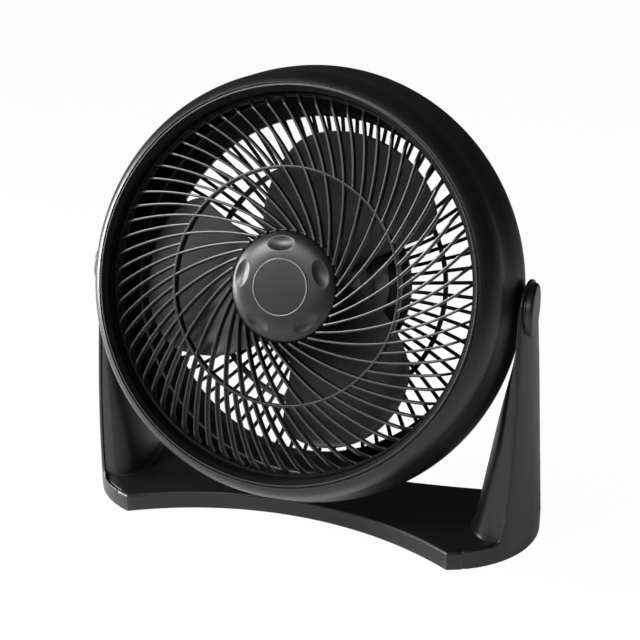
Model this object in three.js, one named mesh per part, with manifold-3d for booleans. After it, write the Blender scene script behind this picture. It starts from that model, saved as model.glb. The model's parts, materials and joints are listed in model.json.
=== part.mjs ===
// Air circulator fan on a U-shaped stand: a round head that tilts between two arms, with slotted grilles,
// a three-blade impeller, an induction motor and a speed knob on the back.
// Millimetres, +Z up, front towards -Y, +X to the viewer's right, bottom on Z = 0.
import * as THREE from 'three';
import { mergeVertices } from 'three/addons/utils/BufferGeometryUtils.js';
import Module from 'manifold-3d';

const wasm = await Module();
wasm.setup();

// ---------------------------------------------------------------- clearances
const seatGap = 0.3; // between two pieces that rest on or fit in each other
const boreGap = 0.35; // round a shaft or pin in its bore
const runGap = 0.6; // beside a piece that moves

// ---------------------------------------------------------------- head: overall
const restTilt = THREE.MathUtils.degToRad(15); // the front looks up by this much as shown
const pivotHeight = 211.3;
const lipAhead = 69; // lip plane in front of the pivot, along the fan axis
const lipRadius = 160;

// Shroud: a round barrel. Depths are measured back from the lip plane.
const shroudWall = 2.6;
const shoulderRadius = 178.2;
const shoulderDepth = 27.7;
const barrelRadius = 188.1;
const barrelDepth = 64.8;
const shroudRearTaper = 1.5; // the barrel narrows by this much towards its rear edge
const shroudRearDepth = 80;
const lipRimOuterRadius = 162.6;
const lipRimRounding = 0.5;
const lipGrooveDepth = 2.4;
const lipSleeveDepth = 27;

// Front grille: a flat disc of curved ribs whose ends bend back at the rim.
const frontGrilleDepth = 9.6;
const frontRibDepth = 8;
const frontRibWidth = 2.5;
const longRibCount = 34;
const ribArcRadius = 214.6;
const ribArcNearRadius = 33.8; // where a rib's arc would pass closest to the axis
const ribPhaseRadius = 103.2;
const ribPhase = THREE.MathUtils.degToRad(171.1);
const ribBendRadius = 148.5;
const ribBendBack = 6.5;
const frontSlotOuterRadius = 155.6;
const frontRingRadius = 98;
const frontRingWidth = 2.6;

// Hub cap with five finger dimples and a blank round badge.
const hubCapRadius = 46.6;
const hubCapRise = 9.4;
const hubCapSink = 4.4; // the cap's seat behind the front face of the ribs
const hubCapEdge = 0.8;
const hubCapWall = 2.4;
const dimpleCount = 5;
const dimpleRingRadius = 35.6;
const dimplePhase = THREE.MathUtils.degToRad(95);
const dimpleLength = 21.7;
const dimpleWidth = 10.4;
const dimpleDepth = 2.3;
const dimpleTilt = 0.32; // leans each dimple with the dome
const badgeRadius = 23.8;
const badgeThickness = 1.2;
const badgeRecess = 0.9;
const hubScrewBoreRadius = 9;

// Rear grille: straight radial ribs on a dome that bulges backwards inside a flat rim.
const rearRibCount = 68;
const rearRibWidth = 3.4;
const rearRibPhase = 0.21; // in rib pitches
const rearWall = 3.2;
const rearRimDepth = 76.5;
const rearRimWidth = 21.6; // flat rim between the dome and the shroud's rear edge
const rearDomeRise = 44;
const rearSlotInside = 38.6; // the slots end this far in from the shroud's rear edge
const rearRingRadius = 112;
const rearRingWidth = 7;
const rearSlotInnerRadius = 80;
const rearHoleRadius = 57;
const rearHoleTurn = 0.37; // in sides of the hole, keeps its corners off the ribs' centre lines
const rearSlotBead = 0.6; // the slots end at a low bead on both faces
const grilleScrewInside = 14.6; // in from the shroud's rear edge
const grilleScrewCount = 4;

// Motor cover, control knob and switch.
const motorCoverRadius = 74;
const motorCoverHeight = 15;
const motorCoverWall = 2.4;
const knobRadius = 19;
const knobHeight = 13;
const knobGripWidth = 7;
const knobGripReach = 16;
const knobPointerWidth = 1.6;
const spindleRadius = 3;
const spindleLength = 16;
const switchWidth = 26;
const switchDepth = 12;
const inletRadius = 5.5;
const inletHole = 3.2;

// Impeller. Seen from the front a blade runs from its rear edge at the lead angle to its front edge.
const bladeCount = 3;
const bladeTipRadius = 141;
const bladeFrontDepth = 33;
const bladeRearDepth = 60;
const bladeThickness = 2.4;
const bladeCamber = 3.5;
const bladeLead = THREE.MathUtils.degToRad(26);
const bladeRootSpread = THREE.MathUtils.degToRad(103.5);
const bladeTipSpread = THREE.MathUtils.degToRad(57);
const bladeTipRounding = 23; // the tip rounds off over this last part of the radius
const impellerHubRadius = 42;
const impellerHubFrontDepth = 25;
const impellerHubRearDepth = 56;
const impellerWall = 2.6;
const impellerBossRadius = 9;

// Motor.
const shaftRadius = 4;
const shaftFrontDepth = 23.5;
const shaftRearDepth = 118;
const motorRadius = 50;
const motorFrontDepth = 80;
const motorRearDepth = 114;
const bracketRimRadius = 60.5;
const motorShieldWall = 2.2;
const bearingRadius = 9.5;
const bearingLength = 9;
const rotorRadius = 24;
const airGap = 0.6;
const statorRadius = 44;
const statorLength = 17;
const coilCount = 4;
const coilInnerRadius = 29;
const coilWidth = 26;
const coilRadial = 8;
const coilLength = 27;

// ---------------------------------------------------------------- stand
const bodyFloorGap = 1.6; // the mouldings clear the floor, the feet touch it
const plateTop = 18;
const plateWall = 2.8;
const plateEdgeRounding = 3;
const frontEdgeY = -29; // measured from the pivot, at the middle
const frontEdgeRadius = 278;
const backEdgeY = 38;
const backEdgeRadius = 900;
const backCornerY = 60;
const sideArcRadius = 92;
const armOutside = 21.9; // outer face of an arm at plate level beyond the barrel's side
const sideArcY = 15;
const panelWall = 2.5;
const panelFrontAngle = THREE.MathUtils.degToRad(-62);
const panelLean = 0.0745; // inward per unit of height above the plate
const panelTopRadius = 150;
const panelFrontY = -44;
const panelBackY = 54;
const armEndRadius = 24.5;

// Half-round buttress on the inner side of each arm.
const buttressInset = 1.4;
const buttressFootInside = 29.1; // the buttress foot reaches this far in from the barrel's side
const buttressSlope = 0.1515;
const buttressWall = 2.6;
const buttressSolidAbove = 182;
const buttressBeadWidth = 2.2;
const buttressBeadHeight = 2.6;
const buttressTopGap = 2.3; // between the barrel and the upright top of the buttress
const buttressTopSlope = 0.2755;
const buttressTopReach = 4; // the cone ends this far above the pivot, inside the round pivot plate

// Pivot.
const pivotPlateGap = 1.4; // between the barrel and the pivot plate
const pivotPlateThickness = 2.9;
const pivotPlateRadius = 21.4;
const capRadius = 22;
const capOutside = 10.1; // outer face of the cap beyond the barrel's side
const capWall = 1.6;
const capChamfer = 1.8;
const trunnionRadius = 9;
const trunnionFlangeRadius = 16;
const trunnionFlangeInside = 10.1; // inner face of the flange in from the barrel's side
const trunnionFlangeThickness = 4.5;
const pivotWasherRadius = 12;
const pivotWasherThickness = 0.8;
const pivotScrewRadius = 2.4;
const pivotScrewHeadRadius = 5;
const pivotScrewHeadHeight = 1.6;

// Feet and screws.
const footRadius = 9;
const footHeight = 3.4;
const footPostRadius = 7;
const footFrontInside = 60.1; // in from the barrel's side
const footFrontY = -42;
const footBackInside = 30.1;
const footBackY = 36;
const screwShankRadius = 1.6;
const screwHeadRadius = 3.4;
const screwHeadHeight = 1.9;
const screwLength = 11;
const armScrewInside = 12.1; // in from the barrel's side
const armScrewFrontY = -16;
const armScrewBackY = 30;
const bossRadius = 4.2;
const bossHeight = 16;
const webHalf = 1.2;
const crossWidth = 0.9;
const crossReach = 2.1;
const crossDepth = 1;

// ---------------------------------------------------------------- derived places
const depthToY = (depth) => depth - lipAhead; // in the head's own frame, fan axis along Y
const shroudRearRadius = barrelRadius - shroudRearTaper;
const rearDomeRadius = shroudRearRadius - rearRimWidth;
const rearSlotOuterRadius = shroudRearRadius - rearSlotInside;
const grilleScrewRing = shroudRearRadius - grilleScrewInside;
const rearFaceDepth = (radius) => {
  const span = rearDomeRadius - rearSlotInnerRadius;
  const share = THREE.MathUtils.clamp((radius - rearSlotInnerRadius) / span, 0, 1);
  return rearRimDepth + rearDomeRise * (1 - share * share);
};
const ribArcCentre = ribArcRadius - ribArcNearRadius;
const frontHubPlateRadius = hubCapRadius + seatGap;
const hubCapSeatDepth = frontGrilleDepth + hubCapSink;
const grilleScrewAngles = Array.from(
  { length: grilleScrewCount },
  (_, i) => Math.PI / grilleScrewCount + (i * 2 * Math.PI) / grilleScrewCount,
);
const sideArcX = barrelRadius + armOutside - sideArcRadius;
const buttressFootX = barrelRadius - buttressFootInside;
const buttressTopX = barrelRadius + buttressTopGap;
const pivotPlateX = barrelRadius + pivotPlateGap;
const capFaceX = barrelRadius + capOutside;
const trunnionFlangeX = barrelRadius - trunnionFlangeInside;
const footFrontX = barrelRadius - footFrontInside;
const footBackX = barrelRadius - footBackInside;
const armScrewX = barrelRadius - armScrewInside;
const farSide = barrelRadius + 70; // well outside the stand, for cuts that go right through
const motorCoverSeatDepth = rearFaceDepth(motorCoverRadius) + rearWall + seatGap;
const motorCoverRearDepth = motorCoverSeatDepth + motorCoverHeight;
const knobFrontDepth = motorCoverRearDepth + runGap;
const knobRearDepth = knobFrontDepth + knobHeight;
const frontReach = lipAhead * Math.cos(restTilt) + (lipRimOuterRadius - lipRimRounding) * Math.sin(restTilt);
const rearReach = depthToY(knobRearDepth) * Math.cos(restTilt) + knobGripReach * Math.sin(restTilt);
const pivotY = (frontReach - rearReach) / 2; // centres the whole fan on Y = 0

// ---------------------------------------------------------------- solid helpers
const mergeTolerance = 0.01;

function toManifold(geometry) {
  const bare = geometry.clone();
  bare.deleteAttribute('normal');
  bare.deleteAttribute('uv');
  const merged = mergeVertices(bare, 1e-4);
  const mesh = new wasm.Mesh({
    numProp: 3,
    vertProperties: new Float32Array(merged.attributes.position.array),
    triVerts: new Uint32Array(merged.index.array),
  });
  return new wasm.Manifold(mesh);
}

function toGeometry(rough) {
  const manifold = rough.simplify(mergeTolerance);
  const mesh = manifold.getMesh();
  const geometry = new THREE.BufferGeometry();
  geometry.setAttribute('position', new THREE.BufferAttribute(new Float32Array(mesh.vertProperties), 3));
  geometry.setIndex(new THREE.BufferAttribute(new Uint32Array(mesh.triVerts), 1));
  geometry.computeVertexNormals();
  return geometry;
}

function union(first, ...others) {
  return toGeometry(others.reduce((sum, next) => sum.add(toManifold(next)), toManifold(first)));
}

function subtract(first, ...others) {
  return toGeometry(others.reduce((sum, next) => sum.subtract(toManifold(next)), toManifold(first)));
}

function intersect(first, second) {
  return toGeometry(toManifold(first).intersect(toManifold(second)));
}

// A ring or a solid of revolution about Y from [radius, y] pairs going round the section once.
function revolve(section, segments = 48) {
  const points = section.map(([radius, y]) => new THREE.Vector2(radius, y));
  let area = 0;
  points.forEach((point, i) => {
    const next = points[(i + 1) % points.length];
    area += point.x * next.y - next.x * point.y;
  });
  if (area < 0) points.reverse();
  const onAxis = points.findIndex((point, i) => point.x === 0 && points[(i + 1) % points.length].x === 0);
  if (onAxis >= 0) {
    const turned = points.slice(onAxis + 1).concat(points.slice(0, onAxis + 1));
    return new THREE.LatheGeometry(turned, segments);
  }
  return new THREE.LatheGeometry(points.concat([points[0].clone()]), segments);
}

// A cylinder whose axis runs from one end to the other.
function rod(radius, from, to, segments = 24) {
  const start = new THREE.Vector3(...from);
  const end = new THREE.Vector3(...to);
  const geometry = new THREE.CylinderGeometry(radius, radius, start.distanceTo(end), segments);
  const turn = new THREE.Quaternion().setFromUnitVectors(
    new THREE.Vector3(0, 1, 0),
    end.clone().sub(start).normalize(),
  );
  geometry.applyQuaternion(turn);
  const middle = start.add(end).multiplyScalar(0.5);
  return geometry.translate(middle.x, middle.y, middle.z);
}

function block(minCorner, maxCorner) {
  const size = maxCorner.map((value, i) => value - minCorner[i]);
  const middle = maxCorner.map((value, i) => (value + minCorner[i]) / 2);
  return new THREE.BoxGeometry(...size).translate(...middle);
}

// A plan outline pushed up along Z from bottom to top.
function prism(outline, bottom, top, segments = 12) {
  const shape = outline instanceof THREE.Shape ? outline : new THREE.Shape(outline);
  const geometry = new THREE.ExtrudeGeometry(shape, {
    depth: top - bottom,
    bevelEnabled: false,
    curveSegments: segments,
  });
  return geometry.translate(0, 0, bottom);
}

// A solid through a row of closed sections with equal point counts; flatten gives a section's flat picture.
function loft(sections, flatten) {
  const count = sections[0].length;
  const positions = sections.flat().flatMap((point) => [point.x, point.y, point.z]);
  const indices = [];
  for (let ring = 0; ring + 1 < sections.length; ring += 1) {
    for (let i = 0; i < count; i += 1) {
      const a = ring * count + i;
      const b = ring * count + ((i + 1) % count);
      indices.push(a, b, b + count, a, b + count, a + count);
    }
  }
  const addCap = (ring, along) => {
    const flat = sections[ring].map(flatten);
    const ringArea = THREE.ShapeUtils.area(flat);
    THREE.ShapeUtils.triangulateShape(flat, []).forEach((corner) => {
      const cornerArea = THREE.ShapeUtils.area(corner.map((i) => flat[i]));
      const [a, b, c] = corner.map((i) => i + ring * count);
      indices.push(...((cornerArea * ringArea > 0) === along ? [a, b, c] : [a, c, b]));
    });
  };
  addCap(0, false);
  addCap(sections.length - 1, true);
  const geometry = new THREE.BufferGeometry();
  geometry.setAttribute('position', new THREE.Float32BufferAttribute(positions, 3));
  geometry.setIndex(indices);
  return facingOut(geometry);
}

// Turns every face round if the body comes out inside out.
function facingOut(geometry) {
  const at = geometry.attributes.position;
  const index = geometry.index.array;
  const corner = [new THREE.Vector3(), new THREE.Vector3(), new THREE.Vector3()];
  let volume = 0;
  for (let i = 0; i < index.length; i += 3) {
    corner.forEach((point, k) => point.fromBufferAttribute(at, index[i + k]));
    volume += corner[0].dot(corner[1].clone().cross(corner[2]));
  }
  if (volume < 0) {
    for (let i = 0; i < index.length; i += 3) {
      [index[i], index[i + 1]] = [index[i + 1], index[i]];
    }
  }
  return geometry;
}

// The same body on the other side of the symmetry plane.
function mirrored(geometry) {
  const copy = geometry.clone();
  if (!copy.index) return mirrored(mergeVertices(copy, 1e-4));
  copy.scale(-1, 1, 1);
  const index = copy.index.array;
  for (let i = 0; i < index.length; i += 3) {
    [index[i], index[i + 1]] = [index[i + 1], index[i]];
  }
  return copy;
}

function polar(radius, angle) {
  return new THREE.Vector2(radius * Math.cos(angle), radius * Math.sin(angle));
}

// ---------------------------------------------------------------- stand pieces (Y measured from the pivot)
const sideRadiusAt = (height) => {
  const rise = Math.max(0, height - plateTop) / (pivotHeight - plateTop);
  return sideArcRadius + (panelTopRadius - sideArcRadius) * rise;
};
const sideCentreXAt = (height) => {
  const lean = panelLean * Math.max(0, height - plateTop);
  return sideArcX + sideArcRadius - lean - sideRadiusAt(height);
};
const panelInnerX = (y, height) => {
  const radius = sideRadiusAt(height) - panelWall;
  return sideCentreXAt(height) + Math.sqrt(radius * radius - (y - sideArcY) ** 2);
};
const seenFromAbove = (point) => new THREE.Vector2(point.x, point.y);

// The angle on the side arc at which it meets another arc of the base outline.
function meetingAngle(sideRadius, otherY, otherRadius, low, high) {
  const miss = (angle) => {
    const point = polar(sideRadius, angle).add(new THREE.Vector2(sideArcX, sideArcY));
    return Math.hypot(point.x, point.y - otherY) - otherRadius;
  };
  let a = low;
  let b = high;
  for (let i = 0; i < 50; i += 1) {
    const middle = (a + b) / 2;
    if (Math.sign(miss(middle)) === Math.sign(miss(a))) a = middle;
    else b = middle;
  }
  return (a + b) / 2;
}

// The plate's outline from above, drawn in by inset; the sides leave room for the side panels.
function plateOutline(inset) {
  const frontCentreY = frontEdgeY - frontEdgeRadius;
  const backCentreY = backEdgeY + backEdgeRadius;
  const cornerRadius = sideArcRadius - inset;
  const sideRadius = sideArcRadius - panelWall - seatGap - inset;
  const frontAngle = meetingAngle(cornerRadius, frontCentreY, frontEdgeRadius + inset, -Math.PI / 2, -0.7);
  const backAngle = meetingAngle(sideRadius, backCentreY, backEdgeRadius + inset, 0, 1);
  const stepAngle = panelFrontAngle - (seatGap + inset) / sideArcRadius;
  const right = [];
  const addArc = (centreX, centreY, radius, from, to, steps) => {
    for (let i = 0; i <= steps; i += 1) {
      const angle = from + ((to - from) * i) / steps;
      right.push(polar(radius, angle).add(new THREE.Vector2(centreX, centreY)));
    }
  };
  const corner = polar(cornerRadius, frontAngle).add(new THREE.Vector2(sideArcX, sideArcY));
  const frontEnd = Math.atan2(corner.y - frontCentreY, corner.x);
  addArc(0, frontCentreY, frontEdgeRadius + inset, Math.PI / 2, frontEnd, 9);
  right.shift();
  right.pop();
  addArc(sideArcX, sideArcY, cornerRadius, frontAngle, stepAngle, 2);
  addArc(sideArcX, sideArcY, sideRadius, stepAngle, backAngle, 9);
  const backCorner = polar(sideRadius, backAngle).add(new THREE.Vector2(sideArcX, sideArcY));
  const backEnd = Math.atan2(backCorner.y - backCentreY, backCorner.x);
  right.pop();
  addArc(0, backCentreY, backEdgeRadius + inset, backEnd, -Math.PI / 2, 4);
  right.pop();
  const left = right.map((point) => new THREE.Vector2(-point.x, point.y)).reverse();
  const frontMiddle = new THREE.Vector2(0, frontEdgeY + inset);
  const backMiddle = new THREE.Vector2(0, backEdgeY - inset);
  return [frontMiddle, ...right, backMiddle, ...left];
}

const plateSection = (inset, height) => plateOutline(inset).map((p) => new THREE.Vector3(p.x, p.y, height));

const footPlaces = [
  ['front_left', -footFrontX, footFrontY],
  ['front_right', footFrontX, footFrontY],
  ['back_left', -footBackX, footBackY],
  ['back_right', footBackX, footBackY],
];

function basePlate() {
  const underside = plateTop - plateWall;
  const outside = loft([
    plateSection(0, bodyFloorGap),
    plateSection(0, plateTop - plateEdgeRounding),
    plateSection(plateEdgeRounding * 0.3, plateTop - plateEdgeRounding * 0.3),
    plateSection(plateEdgeRounding, plateTop),
  ], seenFromAbove);
  const hollow = loft([plateSection(plateWall, 0), plateSection(plateWall, underside)], seenFromAbove);
  const posts = footPlaces.map(([, x, y]) => (
    rod(footPostRadius, [x, y, footHeight + seatGap], [x, y, plateTop - 1], 14)
  ));
  const bores = armScrewPlaces.flatMap(([, x, y]) => [
    rod(screwShankRadius + boreGap, [x, y, underside - 1], [x, y, plateTop + 1], 10),
    rod(screwShankRadius + boreGap, [-x, y, underside - 1], [-x, y, plateTop + 1], 10),
  ]);
  return subtract(union(subtract(outside, hollow), ...posts), ...bores);
}

function foot() {
  const chamfer = 1;
  return revolve([
    [0, 0],
    [footRadius - chamfer, 0],
    [footRadius, chamfer],
    [footRadius, footHeight],
    [0, footHeight],
  ], 20).rotateX(Math.PI / 2);
}

// Arm seen from the side: straight edges that run tangent into the round end about the pivot.
function armOutline(inset, withSkirt) {
  const endRadius = armEndRadius - inset;
  const drop = plateTop - pivotHeight;
  const frontFootY = panelFrontY + inset;
  const backFootY = panelBackY - inset;
  const frontTangent = Math.atan2(drop, frontFootY) - Math.acos(endRadius / Math.hypot(drop, frontFootY));
  const backTangent = Math.atan2(drop, backFootY) + Math.acos(endRadius / Math.hypot(drop, backFootY));
  const fillet = 9;
  const shape = new THREE.Shape();
  if (withSkirt) {
    shape.moveTo(-sideArcRadius, bodyFloorGap);
    shape.lineTo(backCornerY, bodyFloorGap);
    shape.lineTo(backCornerY, plateTop);
  } else {
    shape.moveTo(frontFootY, plateTop);
    shape.lineTo(backFootY, plateTop);
  }
  const backEnd = polar(endRadius, backTangent);
  const frontEnd = polar(endRadius, frontTangent);
  const backEdge = new THREE.Vector2(backEnd.x - backFootY, backEnd.y - drop).normalize();
  const frontEdge = new THREE.Vector2(frontEnd.x - frontFootY, frontEnd.y - drop).normalize();
  if (withSkirt) {
    shape.lineTo(Math.min(backFootY + fillet / 2, backCornerY - 1), plateTop);
    shape.quadraticCurveTo(
      backFootY, plateTop, backFootY + backEdge.x * fillet, plateTop + backEdge.y * fillet,
    );
  }
  shape.absarc(0, pivotHeight, endRadius, backTangent, frontTangent + Math.PI * 2, false);
  if (withSkirt) {
    shape.lineTo(frontFootY + frontEdge.x * fillet, plateTop + frontEdge.y * fillet);
    shape.quadraticCurveTo(frontFootY, plateTop, frontFootY - fillet, plateTop);
    shape.lineTo(-sideArcRadius, plateTop);
  }
  return shape;
}

// An arm outline pushed along X, its own x along Y and its own y along Z.
function acrossX(shape, from, to, segments) {
  const geometry = prism(shape, from, to, segments);
  const turn = new THREE.Matrix4().makeBasis(
    new THREE.Vector3(0, 1, 0),
    new THREE.Vector3(0, 0, 1),
    new THREE.Vector3(1, 0, 0),
  );
  return geometry.applyMatrix4(turn);
}

function sidePanel() {
  const steps = 13;
  const backAngle = THREE.MathUtils.degToRad(36);
  const section = (height) => {
    const arc = (radius) => Array.from({ length: steps + 1 }, (_, i) => {
      const angle = panelFrontAngle + ((backAngle - panelFrontAngle) * i) / steps;
      const point = polar(radius, angle);
      return new THREE.Vector3(sideCentreXAt(height) + point.x, sideArcY + point.y, height);
    });
    const outer = sideRadiusAt(height);
    return [...arc(outer), ...arc(outer - panelWall).reverse()];
  };
  const sheet = loft([section(0), section(plateTop), section(pivotHeight + armEndRadius + 1)], seenFromAbove);
  const panel = intersect(sheet, acrossX(armOutline(0, true), sideArcX, farSide, 10));
  const capHole = rod(capRadius + boreGap, [sideArcX, 0, pivotHeight], [farSide, 0, pivotHeight], 28);
  return subtract(panel, capHole);
}

// Inner face of the buttress: a cone that steepens to pass behind the swinging head and ends upright.
const buttressInnerX = (height) => {
  const cone = buttressFootX + buttressSlope * (height - plateTop);
  const neck = buttressTopX - buttressTopSlope * (pivotHeight - armEndRadius - height);
  return Math.min(buttressTopX, Math.max(cone, neck));
};
const armScrewPlaces = [
  ['front', armScrewX, armScrewFrontY],
  ['back', armScrewX, armScrewBackY],
];

// Where the face towards the fan lies at a place on the buttress.
const buttressFaceX = (y, height) => {
  const share = (height - plateTop) / (pivotHeight - plateTop);
  const frontY = THREE.MathUtils.lerp(panelFrontY, -armEndRadius, share);
  const backY = THREE.MathUtils.lerp(panelBackY, armEndRadius, share);
  const middleY = (frontY + backY) / 2;
  const bulge = Math.sqrt(1 - ((y - middleY) / ((backY - frontY) / 2)) ** 2);
  const reach = panelInnerX(middleY, height) - buttressInnerX(height) - seatGap;
  return panelInnerX(y, height) - seatGap - reach * bulge;
};

// One level of the buttress: a half-round towards the fan, following the side panel on the other side.
function buttressSection(height, wall, beadWidth) {
  const share = (height - plateTop) / (pivotHeight - plateTop);
  const frontY = THREE.MathUtils.lerp(panelFrontY, -armEndRadius, share) + wall;
  const backY = THREE.MathUtils.lerp(panelBackY, armEndRadius, share) - wall;
  const middleY = (frontY + backY) / 2;
  const halfWidth = (backY - frontY) / 2;
  const seat = wall > 0 ? -panelWall : seatGap;
  const reach = panelInnerX(middleY, height) - buttressInnerX(height) - seatGap - wall + beadWidth;
  const steps = 9;
  const seen = [];
  const backing = [];
  for (let i = 0; i <= steps; i += 1) {
    const turn = (Math.PI * i) / steps;
    const y = middleY - halfWidth * Math.cos(turn);
    const panelX = panelInnerX(y, height);
    seen.push(new THREE.Vector3(panelX - seatGap - reach * Math.sin(turn), y, height));
    if (i > 0 && i < steps) backing.unshift(new THREE.Vector3(panelX - seat, y, height));
  }
  if (wall > 0) {
    seen[0].x += panelWall;
    seen[steps].x += panelWall;
  }
  return [...seen, ...backing];
}

function buttress() {
  const foot = plateTop + seatGap;
  const top = pivotHeight + buttressTopReach;
  const levels = [foot, foot + buttressBeadHeight * 0.35, foot + buttressBeadHeight];
  const rows = 6;
  for (let i = 1; i <= rows; i += 1) levels.push(levels[2] + ((top - levels[2]) * i) / rows);
  const bead = (height) => {
    const left = Math.max(0, 1 - (height - foot) / buttressBeadHeight);
    return buttressBeadWidth * left * left;
  };
  const outside = loft(levels.map((height) => buttressSection(height, 0, bead(height))), seenFromAbove);
  const hollowLevels = [plateTop - 1, 60, 100, 140, buttressSolidAbove];
  const hollow = loft(hollowLevels.map((height) => buttressSection(height, buttressWall, 0)), seenFromAbove);
  const nearSide = buttressFootX - 30;
  const trimmed = intersect(outside, acrossX(armOutline(buttressInset, false), nearSide, farSide, 10));
  const plate = rod(
    pivotPlateRadius,
    [pivotPlateX, 0, pivotHeight],
    [pivotPlateX + pivotPlateThickness, 0, pivotHeight],
    28,
  );
  const webTop = foot + bossHeight - 2;
  const bosses = armScrewPlaces.map(([, x, y]) => (
    rod(bossRadius, [x, y, foot], [x, y, foot + bossHeight], 12)
  ));
  const webs = armScrewPlaces.map(([, x, y]) => (
    block([buttressFaceX(y, webTop) + webHalf, y - webHalf, foot], [x, y + webHalf, webTop])
  ));
  const bores = armScrewPlaces.map(([, x, y]) => (
    rod(screwShankRadius + boreGap, [x, y, foot - 1], [x, y, foot + bossHeight - 3], 10)
  ));
  const boreStart = [buttressFootX, 0, pivotHeight];
  const pivotBore = rod(trunnionRadius + boreGap, boreStart, [farSide, 0, pivotHeight], 20);
  const capRoom = rod(
    capRadius + boreGap,
    [pivotPlateX + pivotPlateThickness, 0, pivotHeight],
    [farSide, 0, pivotHeight],
    28,
  );
  const shell = union(subtract(trimmed, hollow, capRoom), plate, ...bosses, ...webs);
  return subtract(shell, pivotBore, ...bores);
}

// Round cap over the pivot, open towards the head.
function pivotCap() {
  const seat = pivotPlateX + pivotPlateThickness + seatGap;
  const rim = capRadius - capWall;
  const profile = [
    [0, capFaceX],
    [capRadius - capChamfer, capFaceX],
    [capRadius, capFaceX - capChamfer],
    [capRadius, seat],
    [rim, seat],
    [rim, capFaceX - capWall],
    [0, capFaceX - capWall],
  ];
  return revolve(profile, 24).rotateZ(-Math.PI / 2);
}

// A cross-slotted screw along +Z with the head's underside on Z = 0 and the shank going up.
function screw(length = screwLength) {
  const body = revolve([
    [0, -screwHeadHeight],
    [screwHeadRadius * 0.75, -screwHeadHeight],
    [screwHeadRadius, -screwHeadHeight * 0.55],
    [screwHeadRadius, 0],
    [screwShankRadius, 0],
    [screwShankRadius, length - 1],
    [screwShankRadius * 0.5, length],
    [0, length],
  ], 10).rotateX(Math.PI / 2);
  const low = -screwHeadHeight - 1;
  const high = -screwHeadHeight + crossDepth;
  return subtract(
    body,
    block([-crossReach, -crossWidth / 2, low], [crossReach, crossWidth / 2, high]),
    block([-crossWidth / 2, -crossReach, low], [crossWidth / 2, crossReach, high]),
  );
}

// ---------------------------------------------------------------- head shell (own frame: pivot at the origin)
function shroud() {
  const lip = lipRadius - 1.5;
  const rimOuter = lipRimOuterRadius;
  const seen = [
    [lip, 1.4],
    [lip + 1, 0],
    [rimOuter - lipRimRounding, 0],
    [rimOuter, lipGrooveDepth],
    [rimOuter + 1.4, lipGrooveDepth],
    [rimOuter + 2, 1.5],
    [rimOuter + 4.8, 2.7],
    [rimOuter + 8.6, 6.6],
    [rimOuter + 12.2, 13.2],
    [shoulderRadius - 1.2, shoulderDepth - 7],
    [shoulderRadius, shoulderDepth],
    [shoulderRadius + 2.6, shoulderDepth + 9],
    [barrelRadius - 3.6, barrelDepth - 17],
    [barrelRadius, barrelDepth],
    [shroudRearRadius, shroudRearDepth],
  ];
  const inside = [
    [shroudRearRadius - shroudWall, shroudRearDepth],
    [barrelRadius - shroudWall, barrelDepth + 4],
    [barrelRadius - 3.6 - shroudWall, barrelDepth - 17],
    [shoulderRadius - 1.5 - shroudWall, shoulderDepth - 5],
    [rimOuter + 5, 11],
    [lip + shroudWall, 9],
    [lip + shroudWall, lipSleeveDepth],
    [lip, lipSleeveDepth],
  ];
  const section = [...seen, ...inside].map(([radius, depth]) => [radius, depthToY(depth)]);
  const shell = revolve(section, 52);
  const bores = [-1, 1].map((side) => (
    rod(trunnionRadius + boreGap, [side * lipRadius, 0, 0], [side * farSide, 0, 0], 20)
  ));
  return subtract(shell, ...bores);
}

// A flat disc picture (front view, x right, y up) pushed back from the given depth.
function disc(shape, frontDepth, thickness) {
  const geometry = new THREE.ExtrudeGeometry(shape, { depth: thickness, bevelEnabled: false });
  return geometry.rotateX(Math.PI / 2).translate(0, depthToY(frontDepth + thickness), 0);
}

// Moves every corner back along the fan axis by a function of its radius.
function pushBack(geometry, amount) {
  const at = geometry.attributes.position;
  for (let i = 0; i < at.count; i += 1) {
    const radius = Math.hypot(at.getX(i), at.getZ(i));
    at.setY(i, at.getY(i) + amount(radius));
  }
  return geometry;
}

// Direction of a front rib's centre line at a radius; each rib is an arc of a circle seen from the front.
function ribAngle(radius) {
  const opposite = (r) => Math.acos((r * r + ribArcCentre ** 2 - ribArcRadius ** 2) / (2 * r * ribArcCentre));
  return ribPhase + opposite(ribPhaseRadius) - opposite(radius);
}

// A point on one edge of the rib turned round by turn.
function ribEdge(radius, turn, side) {
  const step = 0.5;
  const swing = (ribAngle(radius + step) - ribAngle(radius - step)) / (2 * step);
  const half = (frontRibWidth / 2) * Math.sqrt(1 + (radius * swing) ** 2);
  return polar(radius, ribAngle(radius) + turn + (side * half) / radius);
}

function ribSlots(count, radii) {
  const pitch = (2 * Math.PI) / count;
  return Array.from({ length: count }, (_, i) => {
    const near = radii.map((radius) => ribEdge(radius, i * pitch, 1));
    const far = radii.map((radius) => ribEdge(radius, (i + 1) * pitch, -1)).reverse();
    return new THREE.Path([...near, ...far].reverse());
  });
}

const discShape = (radius, segments) => (
  new THREE.Shape(Array.from({ length: segments }, (_, i) => polar(radius, (2 * Math.PI * i) / segments)))
);

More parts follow.
